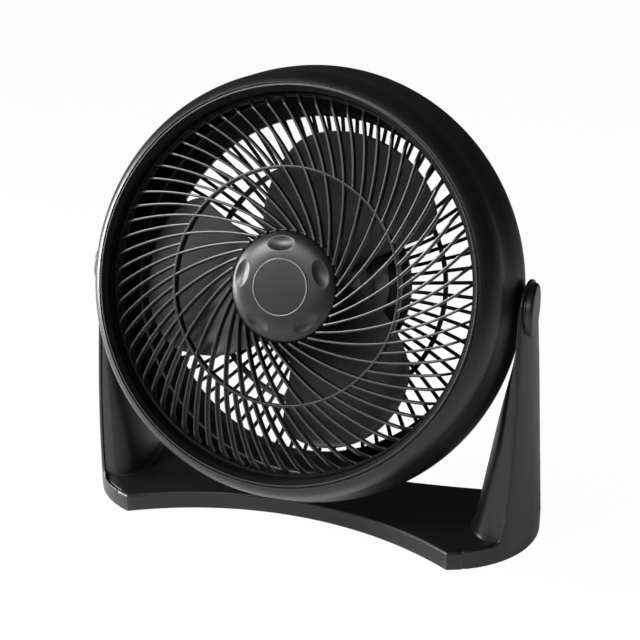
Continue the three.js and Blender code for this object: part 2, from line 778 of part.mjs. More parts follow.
function frontGrille() {
  const shape = discShape(lipRadius - 1.5 - seatGap, 60);
  const ringHalf = frontRingWidth / 2;
  const hubEdge = frontHubPlateRadius;
  const between = (from, to, share) => THREE.MathUtils.lerp(from, to, share);
  const innerEnd = frontRingRadius - ringHalf;
  const outerStart = frontRingRadius + ringHalf;
  const innerRadii = [hubEdge, between(hubEdge, innerEnd, 0.4), innerEnd];
  const outerMiddle = between(outerStart, ribBendRadius, 0.5);
  const outerRadii = [outerStart, outerMiddle, ribBendRadius, frontSlotOuterRadius];
  shape.holes.push(...ribSlots(longRibCount, innerRadii), ...ribSlots(longRibCount * 2, outerRadii));
  const bend = (radius) => {
    const share = (radius - ribBendRadius) / (frontSlotOuterRadius - ribBendRadius);
    return ribBendBack * THREE.MathUtils.clamp(share, 0, 1) ** 1.3;
  };
  const ribs = pushBack(disc(shape, frontGrilleDepth, frontRibDepth), bend);
  const behind = depthToY(frontGrilleDepth + frontRibDepth + 1);
  const pocket = rod(frontHubPlateRadius + 0.1, [0, depthToY(0), 0], [0, depthToY(hubCapSeatDepth), 0], 36);
  const bore = rod(hubScrewBoreRadius, [0, depthToY(0), 0], [0, behind, 0], 20);
  return subtract(ribs, pocket, bore);
}

function hubCap() {
  const seat = depthToY(hubCapSeatDepth) - seatGap;
  const top = seat - hubCapRise;
  const shoulder = (share) => badgeRadius + (hubCapRadius - badgeRadius) * share;
  const drop = (share) => top + (hubCapRise - hubCapEdge) * share;
  const dome = [
    [badgeRadius + seatGap, top + badgeRecess],
    [badgeRadius + seatGap, top],
    [shoulder(0.27), drop(0.035)],
    [shoulder(0.6), drop(0.21)],
    [shoulder(0.82), drop(0.46)],
    [shoulder(0.96), drop(0.79)],
    [hubCapRadius, drop(1)],
    [hubCapRadius, seat],
  ];
  const body = revolve([[0, top + badgeRecess], ...dome, [0, seat]], 36);
  const hollow = revolve([
    [0, top + badgeRecess + hubCapWall],
    [shoulder(0.5), drop(0.28) + hubCapWall],
    [shoulder(0.76), drop(0.58) + hubCapWall],
    [hubCapRadius - hubCapWall, seat + 1],
    [0, seat + 1],
  ], 18);
  const dimples = Array.from({ length: dimpleCount }, (_, i) => {
    const angle = dimplePhase + (i * 2 * Math.PI) / dimpleCount;
    const ball = new THREE.SphereGeometry(1, 10, 6);
    ball.scale(dimpleLength / 2, dimpleDepth * 1.6, dimpleWidth / 2);
    ball.rotateX(-dimpleTilt);
    ball.translate(0, drop(0.15) - dimpleDepth * 0.6, dimpleRingRadius);
    return ball.rotateY(-(angle - Math.PI / 2));
  });
  return subtract(body, hollow, ...dimples);
}

function hubBadge() {
  const top = depthToY(hubCapSeatDepth) - seatGap - hubCapRise;
  const back = top + badgeRecess - seatGap;
  return revolve([
    [0, back - badgeThickness],
    [badgeRadius - 0.8, back - badgeThickness + 0.1],
    [badgeRadius - 0.2, back],
    [0, back],
  ], 30);
}

function rearGrille() {
  const outer = shroudRearRadius - shroudWall - seatGap;
  const overlap = 2;
  const shape = discShape(rearSlotOuterRadius + overlap, 52);
  const holeSides = 26;
  const around = Array.from({ length: holeSides }, (_, i) => (
    polar(rearHoleRadius, (-2 * Math.PI * (i + rearHoleTurn)) / holeSides)
  ));
  const pitch = (2 * Math.PI) / rearRibCount;
  const addSlots = (inner, outerEdge) => {
    for (let i = 0; i < rearRibCount; i += 1) {
      const edge = (radius, side) => {
        const half = Math.asin(rearRibWidth / 2 / radius);
        return polar(radius, (i + rearRibPhase) * pitch + (side > 0 ? half : pitch - half));
      };
      const corners = [edge(inner, 1), edge(inner, -1), edge(outerEdge, -1), edge(outerEdge, 1)];
      shape.holes.push(new THREE.Path(corners));
    }
  };
  addSlots(rearSlotInnerRadius, rearRingRadius - rearRingWidth / 2);
  addSlots(rearRingRadius + rearRingWidth / 2, rearSlotOuterRadius);
  shape.holes.push(new THREE.Path(around));
  const dished = pushBack(disc(shape, 0, rearWall), (radius) => rearFaceDepth(radius));
  const rimInner = rearSlotOuterRadius + 0.8;
  const rimSteps = [0, 0.3, 1].map((share) => THREE.MathUtils.lerp(rimInner, rearDomeRadius, share));
  const rimFace = (side) => [...rimSteps, outer].map((radius, i) => (
    [radius, depthToY(rearFaceDepth(radius)) + (side > 0 ? rearWall : 0) + (i < 2 ? side * rearSlotBead : 0)]
  ));
  const rim = revolve([...rimFace(-1), ...rimFace(1).reverse()], 52);
  const bores = grilleScrewAngles.map((angle) => {
    const place = polar(grilleScrewRing, angle);
    const y = depthToY(rearFaceDepth(grilleScrewRing));
    return rod(screwShankRadius + boreGap, [place.x, y - 6, place.y], [place.x, y + 9, place.y], 10);
  });
  const notches = [-1, 1].map((side) => (
    rod(trunnionFlangeRadius + 1, [side * (trunnionFlangeX - 1), 0, 0], [side * farSide, 0, 0], 24)
  ));
  return subtract(union(dished, rim), ...bores, ...notches);
}

function motorCover() {
  const seat = depthToY(motorCoverSeatDepth);
  const back = depthToY(motorCoverRearDepth);
  const wall = motorCoverWall;
  const body = revolve([
    [motorCoverRadius - wall, seat],
    [motorCoverRadius, seat],
    [motorCoverRadius - 3, back - 5],
    [motorCoverRadius - 7, back - 1.4],
    [motorCoverRadius - 12, back],
    [knobRadius + 3, back],
    [spindleRadius + runGap, back],
    [spindleRadius + runGap, back - wall],
    [motorCoverRadius - 13, back - wall],
    [motorCoverRadius - 8, back - wall - 1.4],
    [motorCoverRadius - 4 - wall, back - 6],
  ], 30);
  const y = (seat + back) / 2 - 0.5;
  const hole = rod(inletRadius - 1.5, [0, y, -motorCoverRadius - 5], [0, y, -motorCoverRadius + 14], 16);
  return subtract(body, hole);
}

// Rubber bush where the mains lead enters; its groove holds the cover's wall.
function inletBush() {
  const bush = revolve([
    [inletHole / 2, -5],
    [inletRadius - 2, -5],
    [inletRadius - 1.5 - seatGap, -4],
    [inletRadius - 1.5 - seatGap, 0],
    [inletRadius, 0.4],
    [inletRadius - 0.6, 2.6],
    [inletHole / 2, 2.6],
  ], 16);
  return bush.rotateX(-Math.PI / 2);
}

function speedKnob() {
  const height = knobHeight;
  const skirt = revolve([
    [0, 0],
    [knobRadius - 0.6, 0],
    [knobRadius, 0.8],
    [knobRadius - 0.8, 4.6],
    [knobRadius - 2.4, 5.6],
    [0, 5.6],
  ], 28);
  const grip = block(
    [-knobGripWidth / 2, 5, -knobGripReach],
    [knobGripWidth / 2, height, knobGripReach],
  );
  const pointer = block(
    [-knobPointerWidth / 2, height - 1.2, knobRadius - 12],
    [knobPointerWidth / 2, height + 1, knobRadius],
  );
  const bore = rod(spindleRadius + seatGap, [0, -1, 0], [0, 8, 0], 14);
  return subtract(union(skirt, grip), pointer, bore);
}

function switchBody() {
  const half = switchWidth / 2;
  const body = block([-half, -switchDepth, -half], [half, 0, half]);
  return subtract(body, rod(spindleRadius + runGap, [0, -3, 0], [0, 2, 0], 14));
}

// ---------------------------------------------------------------- impeller and motor
// One blade section at a radius, seen along the radius; share runs from the rear edge to the front edge.
function bladeSection(radius) {
  const out = (radius - impellerHubRadius) / (bladeTipRadius - impellerHubRadius);
  const intoTip = Math.max(0, radius - (bladeTipRadius - bladeTipRounding)) / bladeTipRounding;
  const tipRound = Math.max(0.16, Math.sqrt(Math.max(0, 1 - intoTip * intoTip)));
  const spread = THREE.MathUtils.lerp(bladeRootSpread, bladeTipSpread, out);
  const steps = 6;
  const face = (offset) => Array.from({ length: steps + 1 }, (_, i) => {
    const share = i / steps;
    const angle = bladeLead + spread / 2 + (share - 0.5) * spread * tipRound;
    const bow = bladeCamber * Math.sin(Math.PI * share);
    const ends = Math.min(1, 4 * share + 0.25, 4 * (1 - share) + 0.25);
    const along = 0.5 + (share - 0.5) * tipRound;
    const depth = THREE.MathUtils.lerp(bladeRearDepth, bladeFrontDepth, along) + bow;
    const flat = polar(radius, angle);
    const point = new THREE.Vector3(flat.x, depthToY(depth + (offset * ends * bladeThickness) / 2), flat.y);
    point.angle = angle;
    return point;
  });
  return [...face(-1), ...face(1).reverse()];
}

function impeller() {
  const shares = [0, 0.2, 0.44, 0.63, 0.77, 0.87, 0.94, 0.98, 1];
  const radii = shares.map((share) => THREE.MathUtils.lerp(impellerHubRadius - 2, bladeTipRadius, share));
  const blade = loft(radii.map(bladeSection), (point) => new THREE.Vector2(point.angle * 100, point.y));
  const blades = Array.from({ length: bladeCount }, (_, i) => (
    blade.clone().rotateY((-2 * Math.PI * i) / bladeCount)
  ));
  const front = depthToY(impellerHubFrontDepth);
  const rear = depthToY(impellerHubRearDepth);
  const hub = revolve([
    [shaftRadius + seatGap, front],
    [impellerHubRadius - 8, front],
    [impellerHubRadius - 2, front + 3],
    [impellerHubRadius, front + 8],
    [impellerHubRadius, rear],
    [impellerHubRadius - impellerWall, rear],
    [impellerHubRadius - impellerWall, front + 9],
    [impellerHubRadius - 9, front + impellerWall],
    [impellerBossRadius, front + impellerWall],
    [impellerBossRadius - 1, front + 20],
    [shaftRadius + seatGap, front + 20],
  ], 26);
  const clear = rod(impellerHubRadius - impellerWall - 0.4, [0, front + 9, 0], [0, rear + 20, 0], 26);
  return union(hub, ...blades.map((one) => subtract(one, clear)));
}

function shaft() {
  const tip = 1;
  return revolve([
    [0, depthToY(shaftFrontDepth)],
    [shaftRadius - tip, depthToY(shaftFrontDepth)],
    [shaftRadius, depthToY(shaftFrontDepth + tip)],
    [shaftRadius, depthToY(shaftRearDepth)],
    [0, depthToY(shaftRearDepth)],
  ], 16);
}

function impellerNut() {
  const nut = new THREE.CylinderGeometry(7, 7, 5, 6).translate(0, -2.5, 0);
  return nut.translate(0, depthToY(shaftFrontDepth) - seatGap, 0);
}

const ring = (inner, outer, from, to, segments = 24) => revolve([
  [inner, depthToY(from)],
  [outer, depthToY(from)],
  [outer, depthToY(to)],
  [inner, depthToY(to)],
], segments);

const bearingSeatRadius = bearingRadius + seatGap;

// Motor end shield: a cup with a bearing seat; front one as drawn, rear one turned round.
function endShield() {
  const depth = (motorRearDepth - motorFrontDepth) / 2 - seatGap / 2;
  const wall = motorShieldWall;
  return revolve([
    [bearingSeatRadius, 0],
    [motorRadius - 5, 0],
    [motorRadius, 5],
    [motorRadius, depth],
    [motorRadius - wall, depth],
    [motorRadius - wall, 6],
    [motorRadius - 6, wall],
    [bearingSeatRadius + wall, wall],
    [bearingSeatRadius + wall, bearingLength - 3],
    [bearingSeatRadius, bearingLength - 3],
  ], 20);
}

function statorCore() {
  const middle = (motorFrontDepth + motorRearDepth) / 2;
  const from = middle - statorLength / 2;
  const to = middle + statorLength / 2;
  const core = ring(rotorRadius + airGap, statorRadius, from, to, 22);
  const slots = Array.from({ length: coilCount }, (_, i) => {
    const slot = block(
      [-coilWidth / 2 - seatGap, depthToY(from) - 1, coilInnerRadius - seatGap],
      [coilWidth / 2 + seatGap, depthToY(to) + 1, coilInnerRadius + coilRadial + seatGap],
    );
    return slot.rotateY((i * 2 * Math.PI) / coilCount);
  });
  return subtract(core, ...slots);
}

function coil() {
  const middle = depthToY((motorFrontDepth + motorRearDepth) / 2);
  const half = coilLength / 2;
  const shape = new THREE.Shape();
  const halfWidth = coilWidth / 2;
  shape.moveTo(-halfWidth + 2, 0);
  shape.lineTo(halfWidth - 2, 0);
  shape.lineTo(halfWidth, 2);
  shape.lineTo(halfWidth, coilRadial - 2);
  shape.lineTo(halfWidth - 2, coilRadial);
  shape.lineTo(-halfWidth + 2, coilRadial);
  shape.lineTo(-halfWidth, coilRadial - 2);
  shape.lineTo(-halfWidth, 2);
  const bar = prism(shape, -half, half).rotateX(Math.PI / 2);
  return bar.translate(0, middle, coilInnerRadius);
}

function bearing() {
  const half = bearingLength / 2;
  return revolve([
    [shaftRadius + seatGap, -half],
    [bearingRadius - 0.5, -half],
    [bearingRadius, -half + 0.5],
    [bearingRadius, half - 0.5],
    [bearingRadius - 0.5, half],
    [shaftRadius + seatGap, half],
  ], 16);
}

// Dished plate behind the motor, its rim seated on the inside of the rear grille round the central hole.
function motorBracket() {
  const plate = depthToY(motorRearDepth) + seatGap;
  const rim = depthToY(rearFaceDepth(rearHoleRadius)) - seatGap;
  const body = revolve([
    [bearingSeatRadius, plate],
    [motorRadius - 4, plate],
    [motorRadius + 2, rim - 4.5],
    [bracketRimRadius, rim - 2.6],
    [bracketRimRadius, rim],
    [motorRadius + 1, rim],
    [motorRadius - 6, plate + 2.4],
    [bearingSeatRadius, plate + 2.4],
  ], 24);
  return body;
}

function trunnion() {
  const end = pivotPlateX + pivotPlateThickness;
  const body = revolve([
    [0, trunnionFlangeX],
    [trunnionFlangeRadius, trunnionFlangeX],
    [trunnionFlangeRadius, trunnionFlangeX + trunnionFlangeThickness - 0.8],
    [trunnionFlangeRadius - 0.8, trunnionFlangeX + trunnionFlangeThickness],
    [trunnionRadius, trunnionFlangeX + trunnionFlangeThickness],
    [trunnionRadius, end],
    [0, end],
  ], 20);
  const bore = rod(pivotScrewRadius + seatGap, [0, end - 11, 0], [0, end + 1, 0], 12);
  return subtract(body, bore).rotateZ(-Math.PI / 2);
}

function pivotWasher() {
  const seat = pivotPlateX + pivotPlateThickness + seatGap;
  return revolve([
    [pivotScrewRadius + seatGap, seat],
    [pivotWasherRadius, seat],
    [pivotWasherRadius, seat + pivotWasherThickness],
    [pivotScrewRadius + seatGap, seat + pivotWasherThickness],
  ], 18).rotateZ(-Math.PI / 2);
}

function pivotScrew() {
  const under = pivotPlateX + pivotPlateThickness + pivotWasherThickness + seatGap * 2;
  return revolve([
    [0, under - 11],
    [pivotScrewRadius, under - 11],
    [pivotScrewRadius, under],
    [pivotScrewHeadRadius, under],
    [pivotScrewHeadRadius - 0.8, under + pivotScrewHeadHeight],
    [0, under + pivotScrewHeadHeight],
  ], 14).rotateZ(-Math.PI / 2);
}

// ---------------------------------------------------------------- assembly
const looks = {
  shell: { color: 0x17181a, roughness: 0.42, metalness: 0 },
  grille: { color: 0x141517, roughness: 0.4, metalness: 0 },
  blade: { color: 0x2a2c2e, roughness: 0.5, metalness: 0 },
  badge: { color: 0x1b1c1e, roughness: 0.28, metalness: 0 },
  rubber: { color: 0x1d1d1d, roughness: 0.9, metalness: 0 },
  steel: { color: 0x9a9c9e, roughness: 0.35, metalness: 0.9 },
  darkSteel: { color: 0x3a3b3d, roughness: 0.45, metalness: 0.8 },
  zinc: { color: 0x8d9094, roughness: 0.4, metalness: 0.7 },
  copper: { color: 0x8a4a22, roughness: 0.4, metalness: 0.8 },
  bronze: { color: 0x9a7a45, roughness: 0.45, metalness: 0.8 },
};

function addPiece(parent, name, geometry, look, position = [0, 0, 0], rotation = [0, 0, 0]) {
  const piece = new THREE.Mesh(geometry, new THREE.MeshStandardMaterial(looks[look]));
  piece.name = name;
  piece.position.set(...position);
  piece.rotation.set(...rotation);
  parent.add(piece);
  return piece;
}

function addStand(parent) {
  addPiece(parent, 'base_plate', basePlate(), 'shell');
  const panel = sidePanel();
  const inner = buttress();
  const cap = pivotCap();
  addPiece(parent, 'arm_right', panel, 'shell');
  addPiece(parent, 'arm_left', mirrored(panel), 'shell');
  addPiece(parent, 'buttress_right', inner, 'shell');
  addPiece(parent, 'buttress_left', mirrored(inner), 'shell');
  addPiece(parent, 'pivot_cap_right', cap, 'shell', [0, 0, pivotHeight]);
  addPiece(parent, 'pivot_cap_left', cap.clone(), 'shell', [0, 0, pivotHeight], [0, Math.PI, 0]);
  footPlaces.forEach(([place, x, y]) => addPiece(parent, `foot_${place}`, foot(), 'rubber', [x, y, 0]));
  armScrewPlaces.forEach(([place, x, y]) => {
    const height = plateTop - plateWall - seatGap;
    addPiece(parent, `arm_screw_${place}_right`, screw(), 'zinc', [x, y, height]);
    addPiece(parent, `arm_screw_${place}_left`, screw(), 'zinc', [-x, y, height]);
  });
}

function addHead(parent) {
  addPiece(parent, 'shroud', shroud(), 'shell');
  addPiece(parent, 'front_grille', frontGrille(), 'grille');
  addPiece(parent, 'hub_cap', hubCap(), 'shell');
  addPiece(parent, 'hub_badge', hubBadge(), 'badge');
  addPiece(parent, 'rear_grille', rearGrille(), 'grille');
  grilleScrewAngles.forEach((angle, i) => {
    const place = polar(grilleScrewRing, angle);
    const y = depthToY(rearFaceDepth(grilleScrewRing) + rearWall) + seatGap + 0.5;
    addPiece(parent, `grille_screw_${i + 1}`, screw(8), 'zinc', [place.x, y, place.y], [Math.PI / 2, 0, 0]);
  });
  addPiece(parent, 'motor_cover', motorCover(), 'shell');
  const inletY = (depthToY(motorCoverSeatDepth) + depthToY(motorCoverRearDepth)) / 2 - 0.5;
  addPiece(parent, 'cord_inlet', inletBush(), 'rubber', [0, inletY, -motorCoverRadius - seatGap + 0.6]);
  const coverInside = depthToY(motorCoverRearDepth) - motorCoverWall - seatGap;
  addPiece(parent, 'speed_switch', switchBody(), 'rubber', [0, coverInside, 0]);
  addPiece(parent, 'switch_spindle', spindle(), 'steel', [0, coverInside, 0]);
  addPiece(parent, 'speed_knob', speedKnob(), 'shell', [0, depthToY(knobFrontDepth), 0]);
  addPiece(parent, 'motor_bracket', motorBracket(), 'darkSteel');
  addPiece(parent, 'motor_shield_front', endShield(), 'zinc', [0, depthToY(motorFrontDepth), 0]);
  addPiece(parent, 'motor_shield_rear', endShield(), 'zinc', [0, depthToY(motorRearDepth), 0], [Math.PI, 0, 0]);
  addPiece(parent, 'stator_core', statorCore(), 'darkSteel');
  for (let i = 0; i < coilCount; i += 1) {
    const angle = (i * 2 * Math.PI) / coilCount;
    addPiece(parent, `stator_coil_${i + 1}`, coil(), 'copper', [0, 0, 0], [0, angle, 0]);
  }
  const bearingOffset = bearingLength / 2 - 3;
  addPiece(parent, 'bearing_front', bearing(), 'bronze', [0, depthToY(motorFrontDepth) + bearingOffset, 0]);
  addPiece(parent, 'bearing_rear', bearing(), 'bronze', [0, depthToY(motorRearDepth) - bearingOffset, 0]);
  addPiece(parent, 'trunnion_right', trunnion(), 'shell');
  addPiece(parent, 'trunnion_left', trunnion(), 'shell', [0, 0, 0], [0, 0, Math.PI]);
  addPiece(parent, 'pivot_washer_right', pivotWasher(), 'steel');
  addPiece(parent, 'pivot_washer_left', pivotWasher(), 'steel', [0, 0, 0], [0, 0, Math.PI]);
  addPiece(parent, 'pivot_screw_right', pivotScrew(), 'zinc');
  addPiece(parent, 'pivot_screw_left', pivotScrew(), 'zinc', [0, 0, 0], [0, 0, Math.PI]);
  addPiece(parent, 'impeller', impeller(), 'blade');
  addPiece(parent, 'motor_shaft', shaft(), 'steel');
  const middle = (motorFrontDepth + motorRearDepth) / 2;
  const rotorHalf = statorLength / 2;
  const rotor = ring(shaftRadius + seatGap, rotorRadius, middle - rotorHalf, middle + rotorHalf);
  addPiece(parent, 'rotor_core', rotor, 'steel');
  addPiece(parent, 'impeller_nut', impellerNut(), 'zinc');
}

function spindle() {
  return rod(spindleRadius, [0, -2.4, 0], [0, spindleLength - 6.4, 0], 14);
}

const fan = new THREE.Group();
fan.name = 'air_circulator_fan';
const stand = new THREE.Group();
stand.name = 'stand';
stand.position.set(0, pivotY, 0);
addStand(stand);
fan.add(stand);
const head = new THREE.Group();
head.name = 'head';
head.position.set(0, pivotY, pivotHeight);
head.rotation.x = -restTilt;
addHead(head);
fan.add(head);

export default fan;
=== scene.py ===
"""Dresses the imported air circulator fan: fine shells, grilles, blades and stand, with moulded finishes."""

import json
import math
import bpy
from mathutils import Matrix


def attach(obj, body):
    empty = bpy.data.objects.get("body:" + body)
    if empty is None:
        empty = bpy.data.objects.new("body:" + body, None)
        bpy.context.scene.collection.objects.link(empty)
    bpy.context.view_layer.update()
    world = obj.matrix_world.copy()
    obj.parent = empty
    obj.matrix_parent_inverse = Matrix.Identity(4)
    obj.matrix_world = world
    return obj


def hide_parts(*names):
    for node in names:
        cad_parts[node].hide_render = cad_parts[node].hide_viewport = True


bl_info = {
    "name": "Air circulator fan",
    "version": (1, 0, 0),
    "blender": (4, 5, 0),
    "location": "View3D > Sidebar > Fan",
    "description": "Builds the fan's visible pieces, finishes and studio on the packed frame",
    "category": "Add Mesh",
}

import bpy
import numpy as np
from bpy.props import FloatProperty, FloatVectorProperty, IntProperty, PointerProperty
from mathutils import Vector
from mathutils.geometry import delaunay_2d_cdt

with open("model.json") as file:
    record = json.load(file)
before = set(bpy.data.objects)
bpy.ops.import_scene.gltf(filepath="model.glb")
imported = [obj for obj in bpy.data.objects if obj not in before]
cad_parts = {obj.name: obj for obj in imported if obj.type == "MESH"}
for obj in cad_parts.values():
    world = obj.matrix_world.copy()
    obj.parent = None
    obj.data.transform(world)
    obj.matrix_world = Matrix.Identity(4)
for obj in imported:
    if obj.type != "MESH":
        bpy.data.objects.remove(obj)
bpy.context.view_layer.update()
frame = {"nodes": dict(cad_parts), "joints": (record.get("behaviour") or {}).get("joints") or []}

MM = 0.001
JOINTS = {joint["name"]: joint for joint in frame["joints"]}
PIVOT = np.array(JOINTS["head_tilt"]["pos_m"])
BLOW = np.array(JOINTS["impeller_spin"]["axis"], float)
BLOW /= np.linalg.norm(BLOW)
BACKWARDS = -BLOW
HEAD_UP = np.cross(np.array([1.0, 0.0, 0.0]), BACKWARDS)
LIP_AHEAD = 69 * MM  # the lip plane in front of the pivot, along the fan axis
HUB_CAP_RADIUS = 46.6 * MM
KNOB_FRONT = 139.6  # the knob's face towards the cover, in millimetres behind the lip


# ---------------------------------------------------------------- sizes and colours a user would change
class FanSizes(bpy.types.PropertyGroup):
    """Sizes of the visible pieces, in metres."""

    lip_radius: FloatProperty(name="Lip radius", description="Inner edge of the front ring",
                              default=0.160, unit="LENGTH")
    rib_width: FloatProperty(name="Front rib width", description="Thickness of a curved front rib",
                             default=0.0021, unit="LENGTH")
    rib_depth: FloatProperty(name="Front rib depth", description="Front rib from its front edge to its back",
                             default=0.0079, unit="LENGTH")
    rib_setback: FloatProperty(name="Front rib setback", description="Front edge of the ribs behind the lip",
                               default=0.0096, unit="LENGTH")
    long_ribs: IntProperty(name="Long front ribs", description="Ribs that run from the hub to the rim",
                           default=34)
    rear_ribs: IntProperty(name="Rear ribs", description="Straight ribs of the rear grille", default=68)
    rear_rib_width: FloatProperty(name="Rear rib width", description="Thickness of a straight rear rib",
                                  default=0.0034, unit="LENGTH")
    blade_tip: FloatProperty(name="Blade tip radius", description="Reach of the blades from the shaft",
                             default=0.141, unit="LENGTH")


class FanColours(bpy.types.PropertyGroup):
    """Colours of the finishes."""

    shell: FloatVectorProperty(name="Shell", description="Satin black of the housing and stand",
                               subtype="COLOR", default=(0.0042, 0.0043, 0.0046))
    grille: FloatVectorProperty(name="Grilles", description="Black of both grilles",
                                subtype="COLOR", default=(0.004, 0.0041, 0.0044))
    blades: FloatVectorProperty(name="Blades", description="Dark grey of the impeller",
                                subtype="COLOR", default=(0.0095, 0.01, 0.0107))
    badge: FloatVectorProperty(name="Badge", description="Plain round field on the hub",
                               subtype="COLOR", default=(0.0095, 0.0097, 0.0103))
    floor: FloatVectorProperty(name="Floor", description="Pale floor under the fan",
                               subtype="COLOR", default=(0.86, 0.86, 0.86))


class FanStage(bpy.types.PropertyGroup):
    """Camera and light."""

    azimuth: FloatProperty(name="Camera azimuth", description="Camera round the fan, from the front",
                           subtype="ANGLE", default=math.radians(19.8))
    elevation: FloatProperty(name="Camera elevation", description="Camera above the horizon",
                             subtype="ANGLE", default=math.radians(18.89))
    distance: FloatProperty(name="Camera distance", description="Camera from the point it looks at",
                            default=0.969, unit="LENGTH")
    lens: FloatProperty(name="Lens", description="Focal length on a 36 mm sensor", default=62.92,
                        unit="CAMERA")
    key_power: FloatProperty(name="Key light", description="Power of the large soft light", default=62.0,
                             unit="POWER")
    side_power: FloatProperty(name="Side light", description="Power of the light on the left", default=64.0,
                              unit="POWER")
    fill_power: FloatProperty(name="Fill light", description="Power of the light over the floor in front",
                              default=6.0, unit="POWER")
    world_level: FloatProperty(name="World light", description="Brightness of the even surrounding light",
                               default=0.055)
    backdrop_white: FloatProperty(name="Backdrop white", default=0.97, subtype="FACTOR",
                                  description="Share of plain white in the floor that the camera sees")
    mirrored_white: FloatProperty(name="Mirrored white", default=0.18, subtype="FACTOR",
                                  description="Share of plain white in the floor that gloss mirrors")


# ---------------------------------------------------------------- surfaces as arrays
def from_head(points):
    """Turns points (x, back, up) of the head, fan axis along its second value, into the object's frame."""
    points = np.asarray(points, float)
    return (PIVOT + points[..., 0:1] * np.array([1.0, 0.0, 0.0])
            + points[..., 1:2] * BACKWARDS + points[..., 2:3] * HEAD_UP)


def behind_lip(depth):
    """Place along the fan axis of a depth measured back from the lip plane."""
    return depth - LIP_AHEAD


def round_axis(radius, angle, depth):
    """Points (r cos a, place along the axis, r sin a) at a depth behind the lip."""
    radius, angle, depth = np.broadcast_arrays(radius, angle, depth)
    return np.stack([radius * np.cos(angle), behind_lip(depth), radius * np.sin(angle)], axis=-1)


def quarter_round(radius, steps=5):
    """How far a rounded edge stands back both ways: r (1 - sin t) and r (1 - cos t) over a quarter turn."""
    turn = np.linspace(0, math.pi / 2, steps)
    return list(zip(radius * (1 - np.sin(turn)), radius * (1 - np.cos(turn))))


def rounded(corners, radii, steps=6, closed=True):
    """A polyline whose corners are rounded: each corner becomes the curve (1-t)^2 A + 2t(1-t) P + t^2 B."""
    corners = np.asarray(corners, float)
    radii = np.broadcast_to(np.asarray(radii, float), (len(corners),)).copy()
    before = np.roll(corners, 1, axis=0) - corners
    after = np.roll(corners, -1, axis=0) - corners
    length_before = np.linalg.norm(before, axis=1)
    length_after = np.linalg.norm(after, axis=1)
    if not closed:
        radii[[0, -1]] = 0
    cut = np.minimum(radii, 0.48 * np.minimum(length_before, length_after))
    a = corners + before / length_before[:, None] * cut[:, None]
    b = corners + after / length_after[:, None] * cut[:, None]
    t = np.linspace(0, 1, steps)[None, :, None]
    curves = (1 - t) ** 2 * a[:, None] + 2 * t * (1 - t) * corners[:, None] + t ** 2 * b[:, None]
    pieces = [curve if cut[i] > 0 else corners[i:i + 1] for i, curve in enumerate(curves)]
    return np.concatenate(pieces)


def refined(line, spacing, closed=True):
    """The same line with points at most a spacing apart, spread evenly on each straight stretch."""
    ends = np.roll(line, -1, axis=0) if closed else line[1:]
    starts = line if closed else line[:-1]
    counts = np.maximum(1, np.ceil(np.linalg.norm(ends - starts, axis=1) / spacing)).astype(int)
    share = np.concatenate([np.arange(count) / count for count in counts])[:, None]
    out = np.repeat(starts, counts, axis=0) * (1 - share) + np.repeat(ends, counts, axis=0) * share
    return out if closed else np.vstack([out, line[-1:]])


def grid_faces(rows, columns, wrap_rows=False, wrap_columns=False):
    """Four-sided faces of a rows by columns grid of points, closed on itself where asked."""
    r = np.arange(rows if wrap_rows else rows - 1)
    c = np.arange(columns if wrap_columns else columns - 1)
    r, c = (value.ravel() for value in np.meshgrid(r, c, indexing="ij"))
    r2, c2 = (r + 1) % rows, (c + 1) % columns
    return np.stack([r * columns + c, r * columns + c2, r2 * columns + c2, r2 * columns + c], axis=1)


def facing_out(points, faces):
    """Reverses the faces where the body they close has a negative volume (sum of p0 . p1 x p2 over 6)."""
    total = 0.0
    for count in {len(face) for face in faces}:
        group = np.array([face for face in faces if len(face) == count])
        for k in range(1, count - 1):
            p0, p1, p2 = points[group[:, 0]], points[group[:, k]], points[group[:, k + 1]]
            total += np.einsum("ij,ij->", p0, np.cross(p1, p2))
    return faces if total > 0 else [face[::-1] for face in faces]


def tube(sections):
    """A body through a row of closed sections (rows, points, 3), closed by a flat face at each end."""
    rows, columns = sections.shape[:2]
    faces = grid_faces(rows, columns, wrap_columns=True).tolist()
    faces.append(list(range(columns))[::-1])
    faces.append([(rows - 1) * columns + i for i in range(columns)])
    points = sections.reshape(-1, 3)
    return points, facing_out(points, faces)


def turned(profile, segments=160):
    """A body turned about the fan axis: each (radius, depth) goes once round, closed at its poles."""
    radius, depth = np.asarray(profile, float).T
    angle = np.linspace(0, 2 * math.pi, segments, endpoint=False)[:, None]
    if radius[0] > 1e-9:
        points = round_axis(radius, angle, depth).reshape(-1, 3)
        return points, facing_out(points, grid_faces(segments, len(radius), True, True).tolist())
    columns = len(radius) - 2
    grid = round_axis(radius[1:-1], angle, depth[1:-1]).reshape(-1, 3)
    points = np.vstack([grid, round_axis(0, 0, depth[[0, -1]])])
    faces = grid_faces(segments, columns, wrap_rows=True).tolist()
    first, pole = np.arange(segments) * columns, np.full(segments, len(grid))
    after = np.roll(first, -1)
    faces += np.stack([first, after, pole], axis=1).tolist()
    faces += np.stack([after + columns - 1, first + columns - 1, pole + 1], axis=1).tolist()
    return points, facing_out(points, faces)


def ring_stack(rings, segments, sideways=False, middle=(0.0, 0.0)):
    """A round body on an upright or sideways axis through rings, each a (radius, place along the axis)."""
    angle = np.linspace(0, 2 * math.pi, segments, endpoint=False)
    radius, along = np.array(rings, float).T[:, :, None]
    first, second = middle[0] + radius * np.cos(angle), middle[1] + radius * np.sin(angle)
    along = np.broadcast_to(along, first.shape)
    return tube(np.stack((along, first, second) if sideways else (first, second, along), axis=-1))


